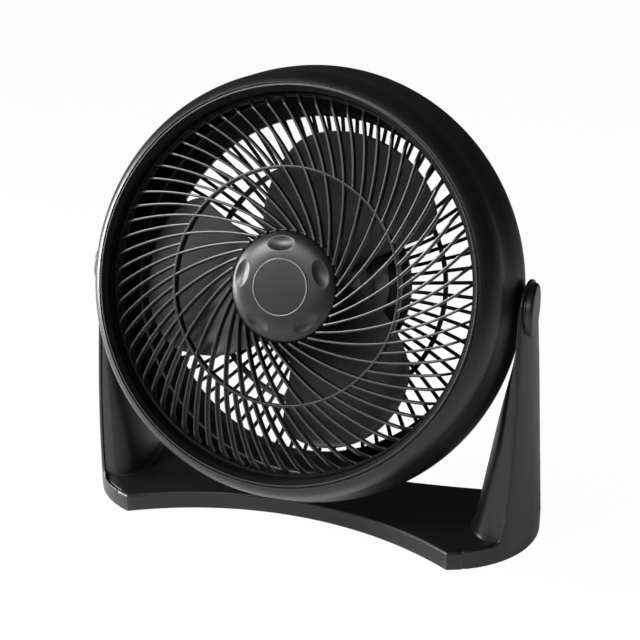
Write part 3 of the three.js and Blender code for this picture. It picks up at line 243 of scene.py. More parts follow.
def ribs(centre_line, backs, width, depth, angles, rounding):
    """Equal bars along one flat line, turned to each angle.

    A point is centre + normal * u + axis * (back + v), where (u, v) runs round a rectangle of width by depth
    that narrows to its back, with rounded corners, and the normal is the line's direction turned a quarter.
    """
    half, narrow = width / 2, width / 2 * 0.8
    section = rounded([(-half, 0), (half, 0), (narrow, depth), (-narrow, depth)],
                      [rounding, rounding, rounding / 2, rounding / 2], 3)
    direction = np.gradient(centre_line, axis=0)
    direction /= np.linalg.norm(direction, axis=1, keepdims=True)
    normal = np.stack([-direction[:, 1], direction[:, 0]], axis=1)
    flat = centre_line[:, None, :] + normal[:, None, :] * section[None, :, 0:1]
    back = backs[:, None] + section[None, :, 1]
    cos, sin = np.cos(angles)[:, None, None], np.sin(angles)[:, None, None]
    x = flat[None, ..., 0] * cos - flat[None, ..., 1] * sin
    z = flat[None, ..., 0] * sin + flat[None, ..., 1] * cos
    points = np.stack([x, np.broadcast_to(back, x.shape), z], axis=-1)
    step = points.shape[1] * points.shape[2]
    faces = tube(points[0])[1]
    all_faces = [[index + k * step for index in face] for k in range(len(angles)) for face in faces]
    return points.reshape(-1, 3), all_faces


def make_piece(name, bodies, body, replaced=(), crease=32, material=None, inside=None):
    """Joins closed bodies into one smooth-shaded object that rides on a body of the frame.

    Without a material it gets the shell's plastic. inside is a second material and a test of the points,
    which is true where that material goes.
    """
    points, faces, start, within = [], [], 0, []
    to_frame = from_stand if body == "stand" else from_head
    for body_points, body_faces in bodies:
        if inside:
            within.append(inside[1](body_points))
        points.append(to_frame(body_points))
        faces += [[index + start for index in face] for face in body_faces]
        start += len(body_points)
    mesh = bpy.data.meshes.new(name)
    mesh.from_pydata(np.vstack(points).tolist(), [], faces)
    mesh.validate()
    mesh.shade_smooth()
    mesh.set_sharp_from_angle(angle=math.radians(crease))
    mesh.materials.append(material or shell_plastic())
    if inside:
        mesh.materials.append(inside[0])
        corner = np.zeros(len(mesh.loops), dtype=np.int32)
        mesh.loops.foreach_get("vertex_index", corner)
        first = np.zeros(len(mesh.polygons), dtype=np.int32)
        mesh.polygons.foreach_get("loop_start", first)
        at = np.concatenate(within)[corner]
        mesh.polygons.foreach_set("material_index", np.logical_and.reduceat(at, first).astype(np.int32))
    piece = bpy.data.objects.new(name, mesh)
    bpy.context.scene.collection.objects.link(piece)
    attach(piece, body)
    if replaced:
        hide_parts(*replaced)


# ---------------------------------------------------------------- finishes
def fill(tree, node, sockets):
    """Fills a node's inputs: another node's socket is linked, anything else is set as a value."""
    for name, value in sockets.items():
        if isinstance(value, bpy.types.NodeSocket):
            tree.links.new(value, node.inputs[name])
        else:
            node.inputs[name].default_value = value


def add_node(tree, kind, sockets, **settings):
    """A new node with its settings made and its inputs filled."""
    node = tree.nodes.new(f"ShaderNode{kind}")
    for name, value in settings.items():
        setattr(node, name, value)
    fill(tree, node, sockets)
    return node


def new_material(name):
    """A node material with its shader and Object coordinates; the tree is None where it was made before."""
    material = bpy.data.materials.get(name)
    if material:
        return material, None, None, None
    material = bpy.data.materials.new(name)
    material.use_nodes = True
    tree = material.node_tree
    tree.nodes.clear()
    shader = add_node(tree, "BsdfPrincipled", {})
    add_node(tree, "OutputMaterial", {"Surface": shader.outputs["BSDF"]})
    return material, tree, shader, add_node(tree, "TexCoord", {}).outputs["Object"]


def noise(tree, place, scale, detail=4.0, roughness=0.55):
    """Smooth noise at a scale in waves per metre."""
    sockets = {"Scale": scale, "Detail": detail, "Roughness": roughness, "Vector": place}
    return add_node(tree, "TexNoise", sockets).outputs["Fac"]


def ranged(tree, value, low, high, from_low=0.3, from_high=0.7):
    """Maps noise to a range."""
    sockets = {"Value": value, "From Min": from_low, "From Max": from_high, "To Min": low, "To Max": high}
    return add_node(tree, "MapRange", sockets).outputs["Result"]


def joined(tree, operation, first, second):
    """Two values joined by an operation such as ADD or MULTIPLY."""
    return add_node(tree, "Math", {0: first, 1: second}, operation=operation).outputs["Value"]


def mixed(tree, share, first, second):
    """Two colours mixed by a value; either may be another node's socket."""
    first, second = (c if isinstance(c, bpy.types.NodeSocket) else (*c, 1) for c in (first, second))
    sockets = {"A": first, "B": second, "Factor": share}
    return add_node(tree, "Mix", sockets, data_type="RGBA").outputs["Result"]


def scaled(colour, factor):
    """A colour made lighter or darker."""
    return tuple(channel * factor for channel in colour)


def bumped(tree, shader, heights):
    """Chains bump nodes from coarse to fine: each entry is (height, strength, distance in metres)."""
    normal = {}
    for height, strength, distance in heights:
        sockets = {"Strength": strength, "Distance": distance, "Height": height, **normal}
        normal = {"Normal": add_node(tree, "Bump", sockets).outputs["Normal"]}
    tree.links.new(normal["Normal"], shader.inputs["Normal"])


def moulded_plastic(name, colour, rough_low, rough_high, grain_strength=0.12, highlight_lift=0.03, shine=0.5):
    """Moulded plastic: fine grain, faintly cloudy colour and gloss, a slow waviness, and convex edges painted
    pale and glossier as a painted highlight.
    """
    material, tree, shader, place = new_material(name)
    if tree is None:
        return material
    cloud = noise(tree, place, 14.0, 3.0)
    speck = noise(tree, place, 900.0, 2.0)
    grain = noise(tree, place, 2600.0, 2.0, 0.6)
    slow = noise(tree, place, 9.0, 1.0)
    body_colour = mixed(tree, ranged(tree, cloud, 0.0, 0.6), colour, scaled(colour, 1.5))
    # Painted highlight: sharp convex edges, found by pointiness, are lightened and made glossier to stand in
    # for the bright lines that light draws on them.
    edge = ranged(tree, add_node(tree, "NewGeometry", {}).outputs["Pointiness"], 0.0, 1.0, 0.525, 0.59)
    edge_highlight = joined(tree, "MULTIPLY", edge, ranged(tree, cloud, 0.55, 1.0))
    pale = tuple(channel + highlight_lift for channel in colour)
    gloss = joined(tree, "ADD", ranged(tree, cloud, rough_low, rough_high), ranged(tree, speck, -0.02, 0.02))
    edge_highlight_gloss = joined(tree, "MULTIPLY", edge_highlight, ranged(tree, cloud, -0.06, -0.1))
    fill(tree, shader, {"Base Color": mixed(tree, edge_highlight, body_colour, pale),
                        "Roughness": joined(tree, "ADD", gloss, edge_highlight_gloss),
                        "IOR": 1.5, "Specular IOR Level": shine})
    bumped(tree, shader, [(slow, 0.06, 0.004), (grain, grain_strength, 0.0002)])
    return material


def metal(name, colour, rough_low, rough_high, brush=(1.0, 1.0, 1.0)):
    """Metal: stretched noise for drawn or turned marks in its gloss and bumps, and darker patches in its
    colour.
    """
    material, tree, shader, place = new_material(name)
    if tree is None:
        return material
    stretch = add_node(tree, "Mapping", {"Scale": brush, "Vector": place}).outputs["Vector"]
    marks = noise(tree, stretch, 900.0, 3.0)
    patches = noise(tree, place, 120.0, 3.0)
    patchy = mixed(tree, ranged(tree, patches, 0.0, 1.0), scaled(colour, 0.7), colour)
    fill(tree, shader, {"Base Color": patchy, "Roughness": ranged(tree, marks, rough_low, rough_high),
                        "Metallic": 1.0})
    bumped(tree, shader, [(marks, 0.15, 0.0002)])
    return material


def rubber(name, grey):
    """Matte rubber with a fine dusty grain."""
    material, tree, shader, place = new_material(name)
    if tree is None:
        return material
    dust = noise(tree, place, 60.0)
    fine = noise(tree, place, 2200.0, 2.0)
    dusty = mixed(tree, ranged(tree, dust, 0.0, 0.5), (grey,) * 3, (2.2 * grey,) * 3)
    fill(tree, shader, {"Base Color": dusty, "Roughness": ranged(tree, fine, 0.75, 0.95)})
    bumped(tree, shader, [(fine, 0.3, 0.0002)])
    return material


def colours():
    """The colours set in the sidebar."""
    return bpy.context.scene.fan_colours


def sizes():
    """The sizes set in the sidebar."""
    return bpy.context.scene.fan_sizes


def shell_plastic():
    """Satin black of the housing and the stand."""
    return moulded_plastic("satin_shell", colours().shell, 0.34, 0.42)


def grille_plastic():
    """Black of the grilles, a little smoother than the shell."""
    return moulded_plastic("satin_grille", colours().grille, 0.30, 0.38, grain_strength=0.06)


def blade_plastic():
    """Dull dark grey of the blades."""
    return moulded_plastic("satin_blades", colours().blades, 0.42, 0.5, shine=0.36)


def badge_plastic():
    """Smooth dark plastic of the bare field on the hub."""
    return moulded_plastic("smooth_badge", colours().badge, 0.3, 0.36, grain_strength=0.0, highlight_lift=0.0)


def badge_ring_plastic():
    """The badge's raised ring, polished, and coloured pale as a painted highlight."""
    # Painted highlight: the ring's pale colour stands in for the light it catches.
    return moulded_plastic("ring_painted_highlight", scaled(colours().badge, 14), 0.16, 0.22, grain_strength=0.0)


def duct_painted_shade():
    """Painted shade for the unlit inside of the housing: the same black made darker, and duller."""
    # Painted shade: half the shell's colour, with no edge highlight.
    return moulded_plastic("painted_shade_duct", scaled(colours().shell, 0.5), 0.6, 0.7, highlight_lift=0.0, shine=0.15)


# ---------------------------------------------------------------- head
def shroud_section():
    """Round barrel in (radius, depth): lip, thin groove, convex bezel, barrel, inside and sleeve.

    A corner is (distance outside the lip's or the rim's edge, depth, rounding), in millimetres.
    """
    lip, rim = sizes().lip_radius / MM - 1.5, sizes().lip_radius / MM + 2.6
    crisp, soft, slow = 0.5, 1.2, 30
    front = [(0, 5.0, crisp), (2.5, 1.5, crisp), (2.9, 0, 0.35)]
    bezel = [(0, 0, 0.4), (0, 2.6, 0.15), (1.2, 2.6, 0.15), (1.6, 0.9, crisp), (4.8, 2.6, soft),
             (8.9, 6.5, slow), (12.5, 13.2, slow), (14.9, 20.7, slow)]
    barrel = [(15.9, 28, slow), (18.3, 37, slow), (22.3, 49, slow), (25.9, 66.5, slow), (24, 80, crisp)]
    inside = [(21.4, 80, crisp), (22.9, 66, slow), (19.2, 47.8, slow), (12, 22.7, slow), (5, 11, soft)]
    sleeve = [(2.6, 9.0, soft), (2.6, 27.0, crisp), (0, 27.0, crisp)]
    parts = ((lip, front), (rim, bezel + barrel + inside), (lip, sleeve))
    section = np.concatenate([np.array(corners) + (edge, 0, 0) for edge, corners in parts]) * MM
    return refined(rounded(section[:, :2], section[:, 2], 7), 4 * MM)


def rib_line(start, end, steps):
    """Centre line of a curved rib seen from the front: radius r lies at phase + c(103.2) - c(r).

    c(r) is the angle at the fan axis of a circle of radius 214.6 mm about a point 180.8 mm away.
    """
    arc, centre, middle_ring, phase = 214.6, 180.8, 103.2, math.radians(171.1)

    def opposite(r):
        """Angle at the fan axis between the arc's centre and the point of the arc at radius r."""
        return np.arccos((r * r + centre ** 2 - arc ** 2) / (2 * r * centre))

    radius = np.linspace(start, end, steps) / MM
    angle = phase + opposite(middle_ring) - opposite(radius)
    return np.stack([radius * np.cos(angle), radius * np.sin(angle)], axis=1) * MM


def front_grille_bodies():
    """Curved ribs of rounded section whose ends bend back, with a rim, a middle ring and the hub's seat."""
    front, depth = sizes().rib_setback, sizes().rib_depth
    width, count = sizes().rib_width, sizes().long_ribs
    bend_start, bend_end, bend, bend_power = 148.5 * MM, 155.6 * MM, 6.5 * MM, 1.3
    rib_end, short_start, rounding = 157.2 * MM, 98 * MM, 1.05 * MM
    middle_ring, rim, hub_seat = (96.9, 99.1), (155.4, 158.2), (9, HUB_CAP_RADIUS / MM + 0.6)

    def backs(line):
        share = np.clip((np.linalg.norm(line, axis=1) - bend_start) / (bend_end - bend_start), 0, 1)
        return behind_lip(front) + bend * share ** bend_power

    def hoop(across, start, end):
        inner, outer = np.array(across) * MM
        corners = [(inner, start), (outer, start), (outer, end), (inner, end)]
        return turned(rounded(corners, 0.5 * MM, 4), 192)

    turns = np.arange(count) * 2 * math.pi / count
    long_line, short_line = rib_line(HUB_CAP_RADIUS, rib_end, 44), rib_line(short_start, rib_end, 26)
    return [ribs(long_line, backs(long_line), width, depth, turns, rounding),
            ribs(short_line, backs(short_line), width, depth, turns + math.pi / count, rounding),
            hoop(middle_ring, front + 0.1 * MM, front + depth),
            hoop(rim, front + bend, front + bend + depth),
            hoop(hub_seat, 14.2 * MM, front + depth)]


def hub_cap_body():
    """Domed cap as a height field: a rounded dome, less five smooth hollows and the well round the badge.

    Depth at (r, a) = dome(r) + hollow * (1 - q^2)^1.15, q being the distance in an oval of 23.6 by 12.6 mm
    centred on radius 35.6 mm, the first one at 95 degrees and then every fifth of a turn.
    """
    seat, top, well, shoulder = 13.7 * MM, 4.3 * MM, 24.1 * MM, 44 * MM
    hollows, hollow_ring, first_hollow = 5, 35.6 * MM, math.radians(95)
    hollow_across, hollow_along, hollow_depth = 11.8 * MM, 6.3 * MM, 2.3 * MM
    well_depth, power = 0.9 * MM, 1.15
    dome = np.array([(0, 0), (24, 0.02), (27, 0.12), (30, 0.34), (33, 0.78), (36, 1.45), (38, 2.05),
                     (40, 2.85), (42, 3.9), (43.5, 4.9), (44.8, 6.05), (45.7, 7.2), (46.4, 8.5),
                     (46.6, 9.4)]) * MM
    round_edge = (HUB_CAP_RADIUS - shoulder) * np.sin(np.linspace(0.1, math.pi / 2, 14))
    radius = np.concatenate([
        np.linspace(2 * MM, well - 0.8 * MM, 6), well + np.array([-0.25, 0, 0.15, 0.5]) * MM,
        np.linspace(well + 1 * MM, shoulder, 72), shoulder + round_edge,
    ])
    angle = np.linspace(0, 2 * math.pi, 420, endpoint=False)
    height = np.interp(radius, dome[:, 0], dome[:, 1])
    smooth = np.convolve(np.pad(height, 5, mode="edge"), np.ones(11) / 11, mode="valid")
    height = np.where((radius > well + 3 * MM) & (radius < shoulder - 1 * MM), smooth, height)
    grid_r, grid_a = np.meshgrid(radius, angle, indexing="ij")
    depth = top + np.repeat(height[:, None], len(angle), axis=1)
    depth += well_depth * (grid_r < well + 0.05 * MM)
    for k in range(hollows):
        middle = first_hollow + k * 2 * math.pi / hollows
        across = grid_r * np.sin(grid_a - middle) / hollow_across
        along = (grid_r * np.cos(grid_a - middle) - hollow_ring) / hollow_along
        depth += hollow_depth * np.clip(1 - across ** 2 - along ** 2, 0, 1) ** power
    depth = np.minimum(depth, seat - 0.35 * MM)
    rings = ((HUB_CAP_RADIUS, seat - 0.3 * MM), (HUB_CAP_RADIUS - 0.3 * MM, seat), (20 * MM, seat))
    back = [round_axis(ring, angle, place)[None] for ring, place in rings]
    return tube(np.concatenate([round_axis(grid_r, grid_a, depth)] + back))


def lathe_mm(corners, radii, segments=144, spacing=6.0):
    """A turned body from corners in millimetres (radius, depth) with each corner rounded."""
    hollow = corners[0][0] > 0
    line = rounded(np.array(corners, float) * MM, np.asarray(radii, float) * MM, 6, closed=hollow)
    return turned(refined(line, spacing * MM, closed=hollow), segments)


def rear_face_depth(radius):
    """Inside of the rear grille: 76.5 + 44 (1 - s^2) with s = (r - 80) / 85 kept between 0 and 1."""
    rim_depth, rise, flat_radius, fall = 76.5, 44, 80, 85
    share = np.clip((np.asarray(radius, float) - flat_radius) / fall, 0, 1)
    return rim_depth + rise * (1 - share ** 2)


def rear_grille_bodies():
    """Straight radial ribs on the dome, the rim, the middle ring and the plate that carries the motor."""
    wall, count, first_turn = 3.2, sizes().rear_ribs, 0.21
    radius = np.linspace(78, 150, 34)
    line = np.stack([radius, np.zeros_like(radius)], axis=1) * MM
    turns = (np.arange(count) + first_turn) * 2 * math.pi / count
    bodies = [ribs(line, behind_lip(rear_face_depth(radius) * MM + 0.05 * MM), sizes().rear_rib_width,
                   (wall - 0.1) * MM, turns, 0.5 * MM)]

    def hoop(inner, outer, swell=0.0):
        across = np.linspace(inner, outer, max(3, int((outer - inner) / 1.5)))
        front, back = rear_face_depth(across) - swell, rear_face_depth(across) + wall + swell
        front[[0, -1]] += 0.35
        back[[0, -1]] -= 0.35
        section = np.concatenate([np.stack([across, front], 1), np.stack([across, back], 1)[::-1]])
        return turned(section * MM, 204)

    rim, bead, middle_ring, motor_plate = (148.4, 183.5), (148.4, 152, 0.5), (109.8, 114.2), (57, 80)
    return bodies + [hoop(*place) for place in (rim, bead, middle_ring, motor_plate)]


def motor_cover_body():
    """Round cover over the motor's back: a soft-edged drum with a hole for the knob's spindle."""
    seat, back, wall = 124.1, 139.0, 2.4
    corners = [(71.6, seat), (74, seat), (73.2, back - 6), (67, back - 0.6), (58, back), (24, back),
               (23.2, back - 0.7), (21.6, back - 0.7), (20.8, back), (3.6, back), (3.6, back - wall),
               (60, back - wall), (65, back - wall - 1), (70.2, back - 7)]
    radii = [0.3, 0.4, 7, 6, 6, 0.4, 0.3, 0.3, 0.4, 0.4, 0.3, 4, 4, 4]
    return lathe_mm(corners, radii, 160)


def speed_knob_bodies():
    """Round skirt and a raised grip bar across it, narrower and lower at both ends."""
    front = KNOB_FRONT
    skirt = lathe_mm([(0, front), (19, front), (18.6, front + 4.8), (16.6, front + 5.7), (0, front + 5.7)],
                     [0, 0.5, 1.0, 0.8, 0], 96, 3)
    foot, reach, half_width = behind_lip((front + 5.0) * MM), 16 * MM, 3.5 * MM
    sections = []
    for share in np.linspace(-1, 1, 25):
        half = half_width * (1 - 0.35 * abs(share) ** 6)
        top = behind_lip((front + 13 - 0.9 * share ** 4) * MM)
        flat = rounded([(-half, foot), (half, foot), (half * 0.86, top), (-half * 0.86, top)],
                       np.array([0.2, 0.2, 1.2, 1.2]) * MM, 5)
        sections.append(np.column_stack([flat, np.full(len(flat), share * reach)]))
    return [skirt, tube(np.array(sections))]


def knob_mark_body():
    """Slim raised line on the grip that shows where the knob points."""
    low, high = behind_lip((KNOB_FRONT + 11.4) * MM), behind_lip((KNOB_FRONT + 12.95) * MM)
    half, start, end = 0.6 * MM, 7.5 * MM, 15.2 * MM
    flat = rounded([(-half, start), (half, start), (half, end), (-half, end)], 0.4 * MM, 4)
    levels = np.array([low, high - 0.2 * MM, high])
    inset = np.array([1, 1, 0.7])[:, None]
    middle = (start + end) / 2
    x = flat[None, :, 0] * inset
    z = middle + (flat[None, :, 1] - middle) * (1 - (1 - inset) * 0.1)
    return tube(np.stack([x, np.broadcast_to(levels[:, None], x.shape), z], axis=-1))


def badge_body():
    """Blank round badge, very slightly domed, with a soft edge."""
    return lathe_mm([(0, 3.72), (12, 3.8), (22.6, 4.0), (23.6, 4.2), (23.6, 4.9), (0, 4.9)],
                    [0, 8, 0.7, 0.3, 0.2, 0], 160, 2)


def badge_ring_body():
    """Thin raised ring round the badge."""
    return lathe_mm([(22.5, 4.3), (22.75, 3.4), (23.7, 3.4), (23.95, 4.5)], [0.1, 0.3, 0.3, 0.1], 200)


# ---------------------------------------------------------------- impeller
def blade_body():
    """One blade: at radius r the section runs across an angle, from its rear edge to its front edge.

    angle = 26 + S/2 + (s - 1/2) S T and depth = 60 - 27 (1/2 + (s - 1/2) T) + 3.5 sin(pi s), half a thickness
    more or less, s from 0 to 1 across the blade. The span S goes from 103.5 degrees at the hub to 57 at the
    tip, and T = sqrt(1 - u^2) rounds off the last 23 mm.
    """
    hub, root, tip, tip_rounding = 42.0, 40.0, sizes().blade_tip / MM, 23
    lead, hub_span, tip_span = np.radians([26, 103.5, 57])
    rear_depth, twist_depth, bow, half_thickness = 60, 27, 3.5, 1.15
    radius = root + (tip - root) * np.sin(np.linspace(0, 1, 60) * math.pi / 2) ** 0.9
    out = ((radius - hub) / (tip - hub))[:, None]
    into_tip = np.clip((radius - (tip - tip_rounding)) / tip_rounding, 0, 1)
    tip_round = np.sqrt(np.clip(1 - into_tip ** 2, 0.0009, 1))[:, None]
    span = hub_span + (tip_span - hub_span) * out
    share = (1 - np.cos(np.linspace(0, math.pi, 57)))[None] / 2
    angle = lead + span / 2 + (share - 0.5) * span * tip_round
    middle = rear_depth - twist_depth * (0.5 + (share - 0.5) * tip_round) + bow * np.sin(math.pi * share)
    ends = np.sqrt(np.clip(1 - (2 * share - 1) ** 8, 0.02, 1))
    thick = half_thickness * ends * (1 - 0.35 * np.clip(out, 0, 1) ** 4)
    angles = np.concatenate([angle, angle[:, ::-1]], axis=1)
    depth = np.concatenate([middle - thick, (middle + thick)[:, ::-1]], axis=1)
    return tube(round_axis(radius[:, None] * MM, angles, depth * MM))


def turned_about_axis(body, angle):
    """The same body turned about the fan axis."""
    points, faces = body
    x = points[:, 0] * math.cos(angle) - points[:, 2] * math.sin(angle)
    z = points[:, 0] * math.sin(angle) + points[:, 2] * math.cos(angle)
    return np.stack([x, points[:, 1], z], axis=1), faces


def impeller_bodies():
    """Three equal blades round a cup-shaped hub."""
    blade = blade_body()
    blades = [turned_about_axis(blade, k * 2 * math.pi / 3) for k in range(3)]
    hub = lathe_mm([(4.3, 25), (36, 25), (42, 31), (42, 56), (39.4, 56), (39.4, 33), (34, 27.6), (9, 27.6),
                    (8, 45), (4.3, 45)], [0.3, 4, 4, 0.5, 0.5, 2, 2, 0.5, 0.5, 0.3], 120)
    return blades + [hub]


# ---------------------------------------------------------------- stand, in millimetres from the pivot
PIVOT_Z = float(PIVOT[2] / MM)
PLATE_TOP, FLOOR_GAP = 18.0, 1.6
PLATE_FRONT_Y, FRONT_ARC_RADIUS = -29.0, 278.0
PLATE_BACK_Y, BACK_ARC_RADIUS = 38.0, 900.0
SIDE_RADIUS, SIDE_X, SIDE_Y = 92.0, 118.0, 15.0
PANEL_WALL, PANEL_LEAN, PANEL_TOP_RADIUS = 2.5, 0.0745, 150.0
PANEL_START, PANEL_GAP = math.radians(-62), 0.3  # where the panel begins on the side arc, and its clearance
ARM_FRONT_Y, ARM_BACK_Y, ARM_END_RADIUS = -44.0, 54.0, 24.5
FEET = {"front_left": (-128, -42), "front_right": (128, -42),
        "back_left": (-158, 36), "back_right": (158, 36)}


def from_stand(points):
    """Turns stand points in millimetres, y from the pivot, into the object's frame."""
    return np.asarray(points, float) * MM + np.array([0.0, PIVOT[1], 0.0])


def side_radius(height):
    """Radius of the side panel's curve seen from above, growing with height."""
    rise = np.clip(height - PLATE_TOP, 0, None) / (PIVOT_Z - PLATE_TOP)
    return SIDE_RADIUS + (PANEL_TOP_RADIUS - SIDE_RADIUS) * rise


def panel_x(y, height, inside=0.0):
    """Sideways place of the side panel: an arc about (centre, 15) whose centre leans in with height."""
    radius = side_radius(height)
    centre = SIDE_X + SIDE_RADIUS - PANEL_LEAN * np.clip(height - PLATE_TOP, 0, None) - radius
    return centre + np.sqrt(np.clip((radius - inside) ** 2 - (y - SIDE_Y) ** 2, 1, None))


def plate_arcs(inset):
    """Outline of the plate from above: front arc, side arcs that leave room for the panels, back arc."""
    front_centre, back_centre = PLATE_FRONT_Y - FRONT_ARC_RADIUS, PLATE_BACK_Y + BACK_ARC_RADIUS
    front_radius, back_radius = FRONT_ARC_RADIUS + inset, BACK_ARC_RADIUS + inset
    corner_radius = SIDE_RADIUS - inset
    radius = SIDE_RADIUS - PANEL_WALL - PANEL_GAP - inset
    step = PANEL_START - (PANEL_GAP + inset) / SIDE_RADIUS

    def meeting(side, centre_y, other, low, high):
        angle = np.linspace(low, high, 4001)
        miss = np.hypot(SIDE_X + side * np.cos(angle), SIDE_Y + side * np.sin(angle) - centre_y) - other
        order = np.argsort(miss)
        return np.interp(0, miss[order], angle[order])

    def seen_from(centre_y, side, turn):
        return math.atan2(SIDE_Y + side * math.sin(turn) - centre_y, SIDE_X + side * math.cos(turn))

    def arc(cx, cy, r, start, end, steps):
        a = np.linspace(start, end, steps)
        return np.stack([cx + r * np.cos(a), cy + r * np.sin(a)], axis=1)

    front = meeting(corner_radius, front_centre, front_radius, -math.pi / 2, -0.7)
    back = meeting(radius, back_centre, back_radius, 0, 1)
    front_end = seen_from(front_centre, corner_radius, front)
    back_start = seen_from(back_centre, radius, back)
    front_arc = arc(0, front_centre, front_radius, math.pi / 2, front_end, 40)
    back_arc = arc(0, back_centre, back_radius, back_start, -math.pi / 2, 30)
    right = np.concatenate([front_arc[:-1], arc(SIDE_X, SIDE_Y, corner_radius, front, step, 14),
                            arc(SIDE_X, SIDE_Y, radius, step, back, 60), back_arc[1:]])
    left = right[1:-1][::-1] * np.array([-1, 1])
    return np.concatenate([right, left])


def base_plate_bodies():
    """Shallow tray turned over: upright edge, quarter-round rim of 3 mm, flat top and hollow underside.

    The tray is a stack of the plate's outline at (inset, height); a post stands over each foot.
    """
    wall, rim = 2.8, 3
    levels = [(wall, PLATE_TOP - wall), (wall, FLOOR_GAP), (0.3, FLOOR_GAP), (0, FLOOR_GAP + 0.3), (0, 10.0)]
    levels += [(inset, PLATE_TOP - down) for down, inset in quarter_round(rim, 8)]
    levels.append((6, PLATE_TOP))
    rows = []
    for inset, height in levels:
        outline = plate_arcs(inset)
        rows.append(np.column_stack([outline, np.full(len(outline), height)]))
    post, low, high, rounding = 7, 3.7, PLATE_TOP - 1, 0.4
    rings = [(post - rounding, low), (post, low + rounding), (post, high - rounding), (post - rounding, high)]
    return [tube(np.array(rows))] + [ring_stack(rings, 40, middle=place) for place in FEET.values()]


def foot_body(place):
    """Round rubber foot with a chamfered sole."""
    rings = [(7.4, 0.0), (8.2, 0.15), (8.9, 0.9), (9.0, 1.4), (9.0, 3.1), (8.7, 3.4)]
    return ring_stack(rings, 64, middle=place)


def arm_tangents(inset):
    """Where the straight front and back edges of an arm meet its round end, as angles about the pivot."""
    radius, drop = ARM_END_RADIUS - inset, PLATE_TOP - PIVOT_Z
    front_y, back_y = ARM_FRONT_Y + inset, ARM_BACK_Y - inset
    front = math.atan2(drop, front_y) - math.acos(radius / math.hypot(drop, front_y))
    back = math.atan2(drop, back_y) + math.acos(radius / math.hypot(drop, back_y))
    return front, back, radius, front_y, back_y


def arm_outline():
    """Side view of an arm (y, z): skirt, small fillets, straight edges and a round end, in order round it."""
    front, back, radius, front_y, back_y = arm_tangents(0)
    back_end = (radius * math.cos(back), PIVOT_Z + radius * math.sin(back))
    front_end = (radius * math.cos(front), PIVOT_Z + radius * math.sin(front))
    start_y, skirt_end = SIDE_Y + SIDE_RADIUS * math.sin(PANEL_START), 60
    corners = [(start_y, FLOOR_GAP), (skirt_end, FLOOR_GAP), (skirt_end, PLATE_TOP), (back_y, PLATE_TOP),
               back_end, front_end, (front_y, PLATE_TOP), (start_y, PLATE_TOP)]
    low = rounded(corners, [2.2, 2.2, 2.6, 3.0, 0, 0, 9.0, 2.2], 8)
    angle = np.linspace(back, front + 2 * math.pi, 40)
    end = np.stack([radius * np.cos(angle), PIVOT_Z + radius * np.sin(angle)], axis=1)
    at = int(np.argmin(np.linalg.norm(low - np.array(back_end), axis=1)))
    return np.concatenate([low[:at], end, low[at + 2:]])


def inset_line(line, amount):
    """A closed line moved inward along the mean of its neighbouring normals."""
    edge = np.roll(line, -1, axis=0) - line
    edge /= np.linalg.norm(edge, axis=1, keepdims=True)
    normal = np.stack([-edge[:, 1], edge[:, 0]], axis=1)
    mean = normal + np.roll(normal, 1, axis=0)
    return line + amount * mean / np.clip((mean * normal).sum(axis=1, keepdims=True), 0.6, None)


def arm_body():
    """Thin curved side panel: the flat side view mapped on the leaning arc, with rounded edges all round.

    Rows run from the outer face over a 0.9 mm quarter round, across the wall, to the inner face; each face is
    a fine triangulation of the side view so that it follows the curve.
    """
    line, spacing_y, spacing_z = refined(arm_outline(), 2.5), 4.0, 5.0
    levels = quarter_round(0.9) + [(0.0, PANEL_WALL - 0.4), (0.25, PANEL_WALL)]
    rows = [inset_line(line, inset) for inset, _ in levels]
    spots_y, spots_z = np.meshgrid(np.arange(-64, 60, spacing_y), np.arange(3, 238, spacing_z),
                                   indexing="ij")
    spots = np.stack([spots_y.ravel(), spots_z.ravel()], axis=1)
    spots = spots[inside_outline(spots, inset_line(line, 3.0))]
    flat = np.concatenate(rows + [spots, spots])
    depth = np.repeat([inside for _, inside in levels] + [0.0, PANEL_WALL],
                      [len(line)] * len(rows) + [len(spots)] * 2)
    points = np.column_stack([panel_x(flat[:, 0], flat[:, 1]) - depth, flat])
    round_line, each_spot = np.arange(len(line)), np.arange(len(spots)) + len(rows) * len(line)
    outer = np.concatenate([round_line, each_spot])
    inner = np.concatenate([round_line + (len(rows) - 1) * len(line), each_spot + len(spots)])
    faces = grid_faces(len(rows), len(line), wrap_columns=True).tolist()
    faces += outer[triangulated(rows[0], spots)][:, ::-1].tolist()
    faces += inner[triangulated(rows[-1], spots)].tolist()
    return points, facing_out(points, faces)


def inside_outline(spots, line):
    """Which points lie inside a closed line, by counting crossings of a ray."""
    a, b = line, np.roll(line, -1, axis=0)
    y, z = spots[:, 0:1], spots[:, 1:2]
    crosses = (a[None, :, 1] > z) != (b[None, :, 1] > z)
    where = a[None, :, 0] + (z - a[None, :, 1]) * (b - a)[None, :, 0] / np.where(
        np.abs((b - a)[:, 1]) < 1e-12, 1e-12, (b - a)[:, 1])[None]
    return (crosses & (y < where)).sum(axis=1) % 2 == 1


def triangulated(line, spots):
    """Triangles of the flat region inside a closed line through its own points and the spots."""
    places = np.vstack([line, spots])
    edges = [(i, (i + 1) % len(line)) for i in range(len(line))]
    out, _, triangles, origins, _, _ = delaunay_2d_cdt([Vector(p) for p in places], edges, [], 1, 1e-9)
    if len(out) != len(places):
        raise RuntimeError("the side view has points that fall together")
    return np.array([origin[0] for origin in origins])[np.array(triangles)]


def buttress_front_back(height):
    """Front and back edge of the buttress at a height: straight, then round, 1.4 mm inside the arm."""
    front, back, radius, front_y, back_y = arm_tangents(1.4)
    half_end = np.sqrt(np.clip(radius ** 2 - (height - PIVOT_Z) ** 2, 0.01, None))

    def edge(turn, low_y, round_y):
        end_y, end_z = radius * math.cos(turn), PIVOT_Z + radius * math.sin(turn)
        share = (height - PLATE_TOP) / (end_z - PLATE_TOP)
        return np.where(height < end_z, low_y + (end_y - low_y) * share, round_y)

    return edge(front, front_y, -half_end), edge(back, back_y, half_end)


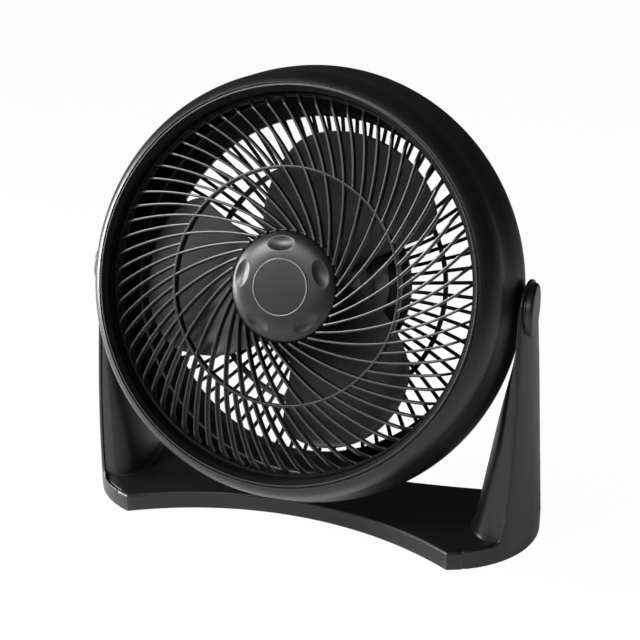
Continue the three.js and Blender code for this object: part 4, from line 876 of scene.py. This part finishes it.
def buttress_bodies():
    """Half-round buttress: x = panel - reach * sqrt(1 - u^2) across each level, u from -1 to 1 on its width.

    The foot flares out over 2.6 mm, the middle follows a cone and the neck steepens to pass the head; a round
    plate stands at the pivot.
    """
    foot, top, flare = PLATE_TOP + PANEL_GAP, PIVOT_Z + 4, 2.6
    cone_foot, cone_slope, neck_x, neck_slope, blend = 159, 0.1515, 190.4, 0.2755, 4
    height = np.concatenate([foot + np.linspace(0, flare, 7), np.linspace(foot + 4, top, 60)])
    share = (height - PLATE_TOP) / (PIVOT_Z - PLATE_TOP)
    wide_front = ARM_FRONT_Y + (-ARM_END_RADIUS - ARM_FRONT_Y) * share
    wide_back = ARM_BACK_Y + (ARM_END_RADIUS - ARM_BACK_Y) * share
    middle, half = (wide_front + wide_back) / 2, (wide_back - wide_front) / 2
    cone = cone_foot + cone_slope * (height - PLATE_TOP)
    neck = neck_x - neck_slope * (PIVOT_Z - ARM_END_RADIUS - height)
    inner = np.minimum(neck_x, 0.5 * (cone + neck + np.sqrt((cone - neck) ** 2 + blend ** 2)))
    bead = 2.2 * np.clip(1 - (height - foot) / flare, 0, None) ** 2
    reach = panel_x(middle, height, PANEL_WALL) - inner - PANEL_GAP + bead
    y_front, y_back = buttress_front_back(height)
    turn = np.linspace(0, math.pi, 41)[None]
    y = (y_front + y_back)[:, None] / 2 - (y_back - y_front)[:, None] / 2 * np.cos(turn)
    level = np.broadcast_to(height[:, None], y.shape)
    u = np.clip((y - middle[:, None]) / half[:, None], -1, 1)
    seat = panel_x(y, level, PANEL_WALL) - PANEL_GAP
    face = seat - reach[:, None] * np.sqrt(1 - u ** 2)
    front = np.stack([face, y, level], axis=-1)
    backing = np.stack([seat, y, level], axis=-1)[:, ::-1]
    plate, low, high, rounding = 21.4, 189.5, 192.4, 0.5
    rings = [(plate - inset, low + rise) for inset, rise in quarter_round(rounding)]
    rings += [(plate - inset, high - fall) for fall, inset in quarter_round(rounding)]
    return [tube(np.concatenate([front, backing], axis=1)), ring_stack(rings, 96, True, (0, PIVOT_Z))]


def cap_body():
    """Round cap over the pivot: a flat face with a 2 mm soft chamfer."""
    rings = [(20.4, 192.75), (22.0, 192.75), (22.0, 195.6), (21.75, 196.6), (21.2, 197.4), (20.4, 197.95),
             (19.4, 198.18), (18.0, 198.2), (8.0, 198.2)]
    return ring_stack(rings, 128, True, (0, PIVOT_Z))


def left_side(body):
    """The same body on the other side of the fan."""
    points, faces = body
    return points * np.array([-1.0, 1.0, 1.0]), [face[::-1] for face in faces]


# ---------------------------------------------------------------- operators: one for each piece or like group
class PieceOperator:
    """What all the piece operators share."""

    bl_options = {"REGISTER", "UNDO"}


class FAN_OT_shroud(PieceOperator, bpy.types.Operator):
    """Makes the round barrel with its front lip and convex bezel"""

    bl_idname = "fan.shroud"
    bl_label = "Shroud"

    def execute(self, context):
        duct, front, back = sizes().lip_radius + 1.2 * MM, behind_lip(0.9 * MM), behind_lip(60 * MM)

        def in_duct_shade(points):
            radius = np.hypot(points[:, 0], points[:, 2])
            return (radius < duct) & (points[:, 1] > front) & (points[:, 1] < back)

        # The inside of the duct behind the lip gets a darker copy of the black as painted shade.
        make_piece("shroud_shell", [turned(shroud_section(), 256)], "head", ["shroud"], crease=35,
                   inside=(duct_painted_shade(), in_duct_shade))
        return {"FINISHED"}


class FAN_OT_front_grille(PieceOperator, bpy.types.Operator):
    """Makes the curved ribs, the rings and the seat of the hub"""

    bl_idname = "fan.front_grille"
    bl_label = "Front grille"

    def execute(self, context):
        # The rim and the ribs' bent ends, set back inside the duct, get the darker duct black as painted
        # shade.
        def in_rim_shade(points):
            return np.hypot(points[:, 0], points[:, 2]) > 155.2 * MM

        make_piece("front_ribs", front_grille_bodies(), "head", ["front_grille"], 50,
                   grille_plastic(), (duct_painted_shade(), in_rim_shade))
        return {"FINISHED"}


class FAN_OT_hub(PieceOperator, bpy.types.Operator):
    """Makes the dimpled hub cap and its blank round badge"""

    bl_idname = "fan.hub"
    bl_label = "Hub cap and badge"

    def execute(self, context):
        make_piece("hub_dome", [hub_cap_body()], "head", ["hub_cap"], 40)
        make_piece("hub_field", [badge_body()], "head", ["hub_badge"], 40, badge_plastic())
        make_piece("hub_ring", [badge_ring_body()], "head", (), 40, badge_ring_plastic())
        return {"FINISHED"}


class FAN_OT_rear_grille(PieceOperator, bpy.types.Operator):
    """Makes the straight rear ribs with their rim and rings"""

    bl_idname = "fan.rear_grille"
    bl_label = "Rear grille"

    def execute(self, context):
        make_piece("rear_ribs", rear_grille_bodies(), "head", ["rear_grille"], 40,
                   grille_plastic())
        return {"FINISHED"}


class FAN_OT_motor_cover(PieceOperator, bpy.types.Operator):
    """Makes the round cover over the back of the motor"""

    bl_idname = "fan.motor_cover"
    bl_label = "Motor cover"

    def execute(self, context):
        make_piece("rear_cover", [motor_cover_body()], "head", ["motor_cover"], 35)
        return {"FINISHED"}


class FAN_OT_knob(PieceOperator, bpy.types.Operator):
    """Makes the speed knob with its grip and pointer line"""

    bl_idname = "fan.knob"
    bl_label = "Speed knob"

    def execute(self, context):
        make_piece("knob_grip", speed_knob_bodies() + [knob_mark_body()], "knob", ["speed_knob"], 38)
        return {"FINISHED"}


class FAN_OT_impeller(PieceOperator, bpy.types.Operator):
    """Makes the three blades and their hub"""

    bl_idname = "fan.impeller"
    bl_label = "Impeller"

    def execute(self, context):
        make_piece("fan_blades", impeller_bodies(), "impeller", ["impeller"], 50,
                   blade_plastic())
        return {"FINISHED"}


class FAN_OT_base_plate(PieceOperator, bpy.types.Operator):
    """Makes the base plate with its rounded rim"""

    bl_idname = "fan.base_plate"
    bl_label = "Base plate"

    def execute(self, context):
        make_piece("base_shell", base_plate_bodies(), "stand", ["base_plate"], 30)
        return {"FINISHED"}


class FAN_OT_arms(PieceOperator, bpy.types.Operator):
    """Makes the curved side panel and the half-round buttress of both arms"""

    bl_idname = "fan.arms"
    bl_label = "Arms"

    def execute(self, context):
        panel, buttress = [arm_body()], buttress_bodies()
        make_piece("panel_right", panel, "stand", ["arm_right"], 40)
        make_piece("pillar_right", buttress, "stand", ["buttress_right"], 32)
        make_piece("panel_left", map(left_side, panel), "stand", ["arm_left"], 40)
        make_piece("pillar_left", map(left_side, buttress), "stand", ["buttress_left"], 32)
        return {"FINISHED"}


class FAN_OT_pivot_caps(PieceOperator, bpy.types.Operator):
    """Makes the round caps over both pivots"""

    bl_idname = "fan.pivot_caps"
    bl_label = "Pivot caps"

    def execute(self, context):
        cap = cap_body()
        make_piece("cap_right", [cap], "stand", ["pivot_cap_right"], 35)
        make_piece("cap_left", [left_side(cap)], "stand", ["pivot_cap_left"], 35)
        return {"FINISHED"}


class FAN_OT_feet(PieceOperator, bpy.types.Operator):
    """Makes the four rubber feet"""

    bl_idname = "fan.feet"
    bl_label = "Feet"

    def execute(self, context):
        dark_rubber = rubber("foot_rubber", 0.018)
        for name, place in FEET.items():
            foot = [foot_body(place)]
            make_piece(f"pad_{name}", foot, "stand", [f"foot_{name}"], 40, dark_rubber)
        return {"FINISHED"}


class FAN_OT_inner_finishes(PieceOperator, bpy.types.Operator):
    """Gives the motor, pivot and fastening parts their metal, rubber and plastic finishes"""

    bl_idname = "fan.inner_finishes"
    bl_label = "Motor and fastenings"

    def execute(self, context):
        finishes = {
            ("motor_shaft", "switch_spindle", "rotor_core", "pivot_washer"):
                metal("turned_steel", (0.55, 0.56, 0.57), 0.22, 0.38, (1.0, 0.08, 1.0)),
            ("grille_screw", "arm_screw", "pivot_screw", "impeller_nut"):
                metal("zinc_plate", (0.48, 0.49, 0.51), 0.3, 0.5),
            ("stator_core", "motor_bracket"):
                metal("laminated_steel", (0.14, 0.14, 0.15), 0.4, 0.6, (0.1, 1.0, 0.1)),
            ("motor_shield",): metal("cast_aluminium", (0.44, 0.45, 0.46), 0.42, 0.6),
            ("stator_coil",): metal("enamelled_copper", (0.42, 0.16, 0.06), 0.25, 0.4, (0.2, 0.2, 1.0)),
            ("bearing",): metal("oiled_bronze", (0.42, 0.29, 0.13), 0.3, 0.5),
            ("cord_inlet",): rubber("inlet_rubber", 0.014),
            ("speed_switch",): moulded_plastic("switch_plastic", (0.03, 0.03, 0.032), 0.4, 0.5),
            ("trunnion",): shell_plastic(),
        }
        for name, node in frame["nodes"].items():
            for starts, finish in finishes.items():
                if name.startswith(starts):
                    node.data.materials.clear()
                    node.data.materials.append(finish)
        return {"FINISHED"}


# ---------------------------------------------------------------- floor, light and camera
def area_lamp(name, place, target, width, height, power):
    """A soft rectangular lamp aimed at a point."""
    lamp = bpy.data.lights.new(name, "AREA")
    lamp.shape = "RECTANGLE"
    lamp.size = width
    lamp.size_y = height
    lamp.energy = power
    holder = bpy.data.objects.new(name, lamp)
    holder.location = place
    holder.rotation_euler = (Vector(target) - Vector(place)).to_track_quat("-Z", "Y").to_euler()
    bpy.context.scene.collection.objects.link(holder)


def add_floor(settings):
    """Pale floor: the camera and gloss see a share of it as plain white, and the rest takes the shadow."""
    material, tree, shader, place = new_material("pale_floor")
    pale, fine = colours().floor, noise(tree, place, 220.0, 3.0)
    fill(tree, shader, {"Base Color": mixed(tree, fine, scaled(pale, 0.985), pale), "Roughness": 0.9})
    white = add_node(tree, "Emission", {"Strength": 1.0}).outputs["Emission"]
    rays = add_node(tree, "LightPath", {}).outputs
    by_camera = joined(tree, "MULTIPLY", rays["Is Camera Ray"], settings.backdrop_white)
    by_gloss = joined(tree, "MULTIPLY", rays["Is Glossy Ray"], settings.mirrored_white)
    seen = joined(tree, "MAXIMUM", by_camera, by_gloss)
    blend = add_node(tree, "MixShader", {"Fac": seen, 1: shader.outputs["BSDF"], 2: white})
    fill(tree, tree.nodes["Material Output"], {"Surface": blend.outputs["Shader"]})
    mesh = bpy.data.meshes.new("floor")
    mesh.from_pydata([(-30, -30, 0), (30, -30, 0), (30, 30, 0), (-30, 30, 0)], [], [(0, 1, 2, 3)])
    mesh.materials.append(material)
    floor = bpy.data.objects.new("floor", mesh)
    bpy.context.scene.collection.objects.link(floor)


def add_surroundings(level):
    """World that lights the fan evenly at a low level and that the camera sees as plain white."""
    world = bpy.data.worlds.new("surroundings")
    world.use_nodes = True
    tree = world.node_tree
    tree.nodes.clear()
    lit = add_node(tree, "Background", {"Strength": level})
    white = add_node(tree, "Background", {"Color": (1.0, 1.0, 1.0, 1.0), "Strength": 1.0})
    seen = add_node(tree, "LightPath", {}).outputs["Is Camera Ray"]
    mix = add_node(tree, "MixShader", {"Fac": seen, 1: lit.outputs[0], 2: white.outputs[0]})
    add_node(tree, "OutputWorld", {"Surface": mix.outputs[0]})
    bpy.context.scene.world = world


def add_camera(settings):
    """Camera at its distance from the point it looks at, at its azimuth and elevation."""
    target = np.array([0.01348, PIVOT[1] - 0.00399, 0.18259])  # the point that the photo has in its middle
    flat = math.cos(settings.elevation)
    away = np.array([math.sin(settings.azimuth) * flat, -math.cos(settings.azimuth) * flat,
                     math.sin(settings.elevation)])
    camera = bpy.data.cameras.new("camera")
    camera.lens = settings.lens
    camera.sensor_width = 36.0
    camera.clip_end = 100.0
    holder = bpy.data.objects.new("camera", camera)
    holder.location = target + away * settings.distance
    holder.rotation_euler = Vector(-away).to_track_quat("-Z", "Y").to_euler()
    bpy.context.scene.collection.objects.link(holder)
    bpy.context.scene.camera = holder


class FAN_OT_studio(PieceOperator, bpy.types.Operator):
    """Makes the pale floor, the soft lights, the white surroundings and the camera"""

    bl_idname = "fan.studio"
    bl_label = "Floor, light and camera"

    def execute(self, context):
        settings = context.scene.fan_stage
        fan, floor_ahead = (0.0, 0.0, 0.2), (0.05, -0.55, 0.0)
        add_floor(settings)
        area_lamp("key", (-1.2, -1.5, 1.5), fan, 0.8, 0.8, settings.key_power)
        area_lamp("side", (-1.9, -0.35, 0.45), fan, 0.7, 0.9, settings.side_power)
        area_lamp("front", (0.1, -1.3, 1.0), floor_ahead, 0.8, 0.4, settings.fill_power)
        add_surroundings(settings.world_level)
        add_camera(settings)
        context.scene.view_settings.view_transform = "Standard"
        return {"FINISHED"}


PIECE_OPERATORS = (FAN_OT_shroud, FAN_OT_front_grille, FAN_OT_hub, FAN_OT_rear_grille, FAN_OT_motor_cover,
                   FAN_OT_knob, FAN_OT_impeller, FAN_OT_base_plate, FAN_OT_arms, FAN_OT_pivot_caps,
                   FAN_OT_feet, FAN_OT_inner_finishes, FAN_OT_studio)


class FAN_PT_sidebar(bpy.types.Panel):
    """Lists the fan's pieces and their settings"""

    bl_idname = "FAN_PT_sidebar"
    bl_label = "Air circulator fan"
    bl_space_type = "VIEW_3D"
    bl_region_type = "UI"
    bl_category = "Fan"

    def draw(self, context):
        for operator in PIECE_OPERATORS:
            self.layout.operator(operator.bl_idname)
        for group in (context.scene.fan_sizes, context.scene.fan_colours, context.scene.fan_stage):
            box = self.layout.box()
            for name in group.__annotations__:
                box.prop(group, name)


GROUPS = {"fan_sizes": FanSizes, "fan_colours": FanColours, "fan_stage": FanStage}


def register():
    """Registers the settings, the operators and the panel."""
    for name, group in GROUPS.items():
        bpy.utils.register_class(group)
        setattr(bpy.types.Scene, name, PointerProperty(type=group))
    for item in PIECE_OPERATORS + (FAN_PT_sidebar,):
        bpy.utils.register_class(item)


def unregister():
    """Takes everything registered away again."""
    for item in reversed(PIECE_OPERATORS + (FAN_PT_sidebar,)):
        bpy.utils.unregister_class(item)
    for name, group in GROUPS.items():
        delattr(bpy.types.Scene, name)
        bpy.utils.unregister_class(group)


def main():
    """Registers the add-on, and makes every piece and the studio."""
    register()
    for operator in PIECE_OPERATORS:
        group, name = operator.bl_idname.split(".")
        getattr(getattr(bpy.ops, group), name)()


if __name__ == "__main__":
    main()
